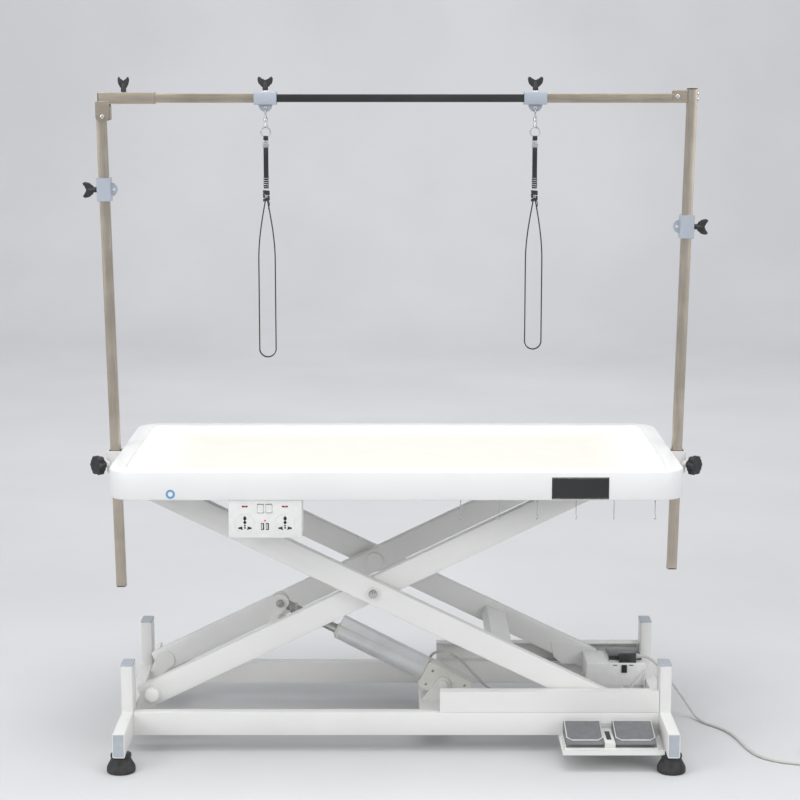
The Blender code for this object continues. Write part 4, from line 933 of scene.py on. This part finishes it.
def make_clamp_nuts():
    """Cream collars under the wing screws, where they enter the clamps."""
    profile = [(0.0036, 0.0), (0.0078, 0.0), (0.0082, 0.0006), (0.0076, 0.0022), (0.0052, 0.0026),
               (0.0036, 0.0026)]
    for name, (x, _) in NOOSES.items():
        nut = turned(profile, stand((x, 0, BAR_Z + 0.0143), Z), 24)
        piece(f"{name}_bar_nut", nut, CREAM, "arch", "cream_plastic")


def wing(base, axis, across, neck, height, span, name, body):
    """A moulded wing screw on the CAD body that it stands for: two lobes, a hub and a steel thread."""
    shape = [(0.0052, 0.0045), (0.0085, 0.01), (0.015, 0.013), (0.0172, 0.0185), (0.0178, 0.024),
             (0.015, 0.0278), (0.0105, 0.0262), (0.0062, 0.0212), (0.0028, 0.0192)]
    wide, tall = span / 2 / 0.018, height / 0.028
    right = [(u * wide, neck + v * tall) for u, v in shape]
    outline = right + [(-u, v) for u, v in right[::-1]]
    blade = prism(outline, 0.0066, stand(base, across.cross(axis), axis), 0.0022, 3)
    hub = turned([(0, neck), (0.0058, neck), (0.0062, neck + 0.001), (0.0062, neck + 0.006),
                  (0.0052, neck + 0.0095),
                  (0.0046, neck + 0.018), (0.003, neck + 0.0205), (0, neck + 0.021)], stand(base, axis), 24)
    piece(name, merge(blade, hub), BLACK_PLASTIC, body, "black_plastic", body)
    thread = []
    for step in range(int((neck - 0.011) / 0.00025)):
        thread.append((0.003 if step % 4 in (0, 3) else 0.0026, 0.011 + step * 0.00025))
    thread = [(0, 0.011)] + thread + [(0.0028, neck + 0.0002), (0, neck + 0.0002)]
    piece(f"{name}_thread", turned(thread, stand(base, axis), 20), STEEL_BRIGHT, body, "bright_steel")


def make_wing_screws():
    wing(Vector((THUMB_X, 0, BAR_Z)), Z, X, 0.0137, 0.034, 0.026, "thumb_wing", "thumb_screw")
    for name, (x, _) in NOOSES.items():
        wing(Vector((x, 0, BAR_Z)), Z, X, 0.0172, 0.031, 0.035, f"{name}_bar_wing", f"{name}_bar_screw")
    for name, (end, z) in POST_SCREWS.items():
        base = post_point(end, z)
        up = (post_point(end, z + 1) - base).normalized()
        wing(base, Y.cross(up) * end, up, 0.0168, 0.0325, 0.036, f"{name}_post_wing", f"{name}_post_screw")


make_post_ends()
make_corner_hardware()
make_clamp_nuts()
make_wing_screws()


# ---- Nooses: snap hook, doubled strap, crimp, spiral, knot and loop

def make_noose(name, x, bottom):
    body = f"{name}_noose"
    gate = smooth_route([(x, -0.0008, HOOK_Z - 0.0164), (x, 0.0062, HOOK_Z - 0.0148),
                         (x, 0.0082, HOOK_Z - 0.0085), (x, 0.0048, HOOK_Z - 0.002),
                         (x, -0.0008, HOOK_Z - 0.0002), (x, -0.0062, HOOK_Z - 0.0026),
                         (x, -0.008, HOOK_Z - 0.0085), (x, -0.0058, HOOK_Z - 0.0142)], 5)
    hook = [wire(gate, 0.00145, 12)]
    barrel = turned([(0, 0.0), (0.003, 0.0), (0.0042, 0.002), (0.0042, 0.006), (0.0032, 0.0075),
                     (0.0032, 0.015),
                     (0.0046, 0.0165), (0.0046, 0.0215), (0.0034, 0.0235), (0.0022, 0.029), (0, 0.0295)],
                    stand((x, 0, 1.3885), Z), 28)
    ring = wire(circle_points(Vector((x, 0, 1.38)), 0.0105, X, Z, 36), 0.0014, 12, closed=True)
    piece(f"{name}_snap_hook", merge(barrel, ring, *hook), STEEL_BRIGHT, body, "bright_steel",
          f"{name}_noose_hook")

    straps = []

    def strap(points, smoothness, half_width, half_thickness, across):
        straps.append(wire(smooth_route(points, smoothness), 0, flat=(half_width, half_thickness, across)))

    for side in SIDES:
        strap([(x, side * 0.0016, 1.369), (x, side * 0.0026, 1.36), (x, side * 0.0018, 1.33),
               (x, side * 0.0018, 1.29), (x, side * 0.002, 1.254)], 6, 0.0053, 0.0013, X)
    strap([(x, 0.003, 1.3655), (x, 0.0022, 1.369), (x, 0.0, 1.3705), (x, -0.0022, 1.369),
           (x, -0.003, 1.3655)], 4, 0.0053, 0.0012, X)
    start, wide, half, turn = 1.226, 1.09, 0.0186, bottom + 0.0014 + 0.0186
    for side in SIDES:
        line = []
        for step in range(9):
            share = step / 8
            width = half * (0.14 + 0.86 * math.sin(share * math.pi / 2))
            line.append(Vector((x + side * width, 0, start + (wide - start) * share)))
        line += [Vector((x + side * half, 0, wide + (turn - wide) * share)) for share in (0.25, 0.5, 0.75)]
        for step in range(10):
            a = math.pi / 2 * step / 9
            line.append(Vector((x + side * half * math.cos(a), 0, turn - half * math.sin(a))))
        strap(line, 3, 0.004, 0.0012, Y)
    strap([(x + 0.003, -0.003, 1.23), (x + 0.007, -0.004, 1.22), (x + 0.0045, -0.0036, 1.208)],
          4, 0.003, 0.0009, Y)
    piece(f"{name}_noose_webbing", merge(*straps), WEBBING, body, "webbing", f"{name}_noose_strap")

    wraps = []
    for level, tilt in ((1.229, 0.25), (1.235, -0.2), (1.241, 0.15), (1.2465, -0.1)):
        wraps.append(wire([Vector((x + 0.0066 * math.cos(a), 0.0048 * math.sin(a),
                                   level + tilt * 0.006 * math.cos(a)))
                           for a in (2 * math.pi * s / 24 for s in range(24))], 0.0, closed=True,
                          flat=(0.003, 0.0011, Z)))
    piece(f"{name}_noose_knot", merge(*wraps), WEBBING, body, "webbing")
    crimp = rounded_block((x - 0.0066, -0.0046, 1.3455), (x + 0.0066, 0.0046, 1.361), 0.0014)
    dents = [wire([Vector((x - 0.006, -0.0047, z)), Vector((x + 0.006, -0.0047, z))], 0.0005, 6)
             for z in (1.349, 1.3532, 1.3574)]
    spiral = []
    for step in range(100):
        a = 2 * math.pi * step / 20
        spiral.append(Vector((x + 0.0062 * math.cos(a), 0.0036 * math.sin(a), 1.28 - 0.023 * step / 99)))
    clip = rounded_block((x - 0.003, -0.0068, 1.233), (x + 0.003, -0.0052, 1.24), 0.0006, 2)
    piece(f"{name}_noose_metal", merge(crimp, clip, wire(spiral, 0.0008, 8), *dents), STEEL_BRIGHT, body,
          "bright_steel")


for name, (x, bottom) in NOOSES.items():
    make_noose(name, x, bottom)


# ---- Star knobs

def make_star_knobs():
    """Six-lobed knobs with a dished face, a metal insert and a hub."""
    for name, end in (("left", -1), ("right", 1)):
        axis = Vector((end * math.cos(KNOB_ANGLE), -math.sin(KNOB_ANGLE), 0))
        centre = Vector((end * ARCH_X, 0, KNOB_Z))
        outline = []
        for step in range(72):
            a = 2 * math.pi * step / 72
            radius = 0.0206 + 0.003 * math.cos(6 * a) - 0.0008 * math.cos(12 * a)
            outline.append((radius * math.cos(a), radius * math.sin(a)))
        head = prism(outline, 0.0158, stand(centre + axis * 0.0495, axis, Z), 0.003, 4)
        hub = turned([(0, 0.0325), (0.0088, 0.0325), (0.0092, 0.0335), (0.01, 0.042), (0, 0.042)],
                     stand(centre, axis), 36)
        dish = turned([(0.0105, 0.0573), (0.01, 0.0581), (0.009, 0.0581), (0.0084, 0.057), (0.0, 0.057)],
                      stand(centre, axis), 36)
        piece(f"{name}_knob", merge(head, hub, dish), BLACK_PLASTIC, f"{name}_star_knob", "black_plastic",
              f"{name}_star_knob")
        stud = turned([(0, 0.017), (0.0036, 0.017), (0.004, 0.0178), (0.004, 0.0328), (0, 0.0328)],
                      stand(centre, axis), 24)
        piece(f"{name}_knob_stud", stud, STEEL_BRIGHT, f"{name}_star_knob", "bright_steel")


make_star_knobs()


# ---- Floor and light

def make_stage():
    """A floor that curves up into a pale backdrop."""
    look = new_material("studio", (0.62, 0.62, 0.625), 0.85)
    vary_colour(look, noise(look, 1.1, 5.0), (0.6, 0.6, 0.605), (0.64, 0.64, 0.645))
    mesh = bmesh.new()
    profile = [(-9.0, 0.0), (6.2, 0.0)]
    profile += [(6.2 + 1.8 * math.sin(a), 1.8 * (1 - math.cos(a))) for a in
                (math.radians(7.5 * k) for k in range(1, 13))] + [(8.0, 7.0)]
    rows = [[mesh.verts.new((x, y, z)) for x in (-9.0, 9.0)] for y, z in profile]
    for a, b in zip(rows, rows[1:]):
        mesh.faces.new((a[0], a[1], b[1], b[0]))
    data = bpy.data.meshes.new("studio")
    mesh.to_mesh(data)
    mesh.free()
    data.shade_smooth()
    data.materials.append(look.material)
    stage = bpy.data.objects.new("studio", data)
    bpy.context.scene.collection.objects.link(stage)


def add_light(name, place, aim, size, power, colour=(1, 1, 1)):
    data = bpy.data.lights.new(name, "AREA")
    data.shape, data.size, data.size_y = "RECTANGLE", size[0], size[1]
    data.energy, data.color = power, colour
    light = bpy.data.objects.new(name, data)
    light.location = place
    light.rotation_euler = (Vector(aim) - Vector(place)).to_track_quat("-Z", "Y").to_euler()
    bpy.context.scene.collection.objects.link(light)


def light_scene():
    add_light("overhead", (0.0, -0.6, 4.2), (0, 0.2, 0), (4.0, 3.0), 120)
    add_light("left_front", (-3.4, -3.0, 2.8), (0, 0, 0.6), (2.4, 2.4), 75)
    add_light("right_front", (3.4, -3.2, 2.4), (0, 0, 0.6), (2.4, 2.4), 55)
    add_light("backdrop", (0.0, 3.6, 4.6), (0, 7.6, 1.2), (6.0, 1.6), 130)
    world = bpy.data.worlds.new("studio_air")
    bpy.context.scene.world = world
    world.use_nodes = True
    world.node_tree.nodes["Background"].inputs["Color"].default_value = (0.93, 0.95, 1.0, 1)
    world.node_tree.nodes["Background"].inputs["Strength"].default_value = 0.55
    bpy.context.scene.view_settings.view_transform = "Standard"


make_stage()
light_scene()
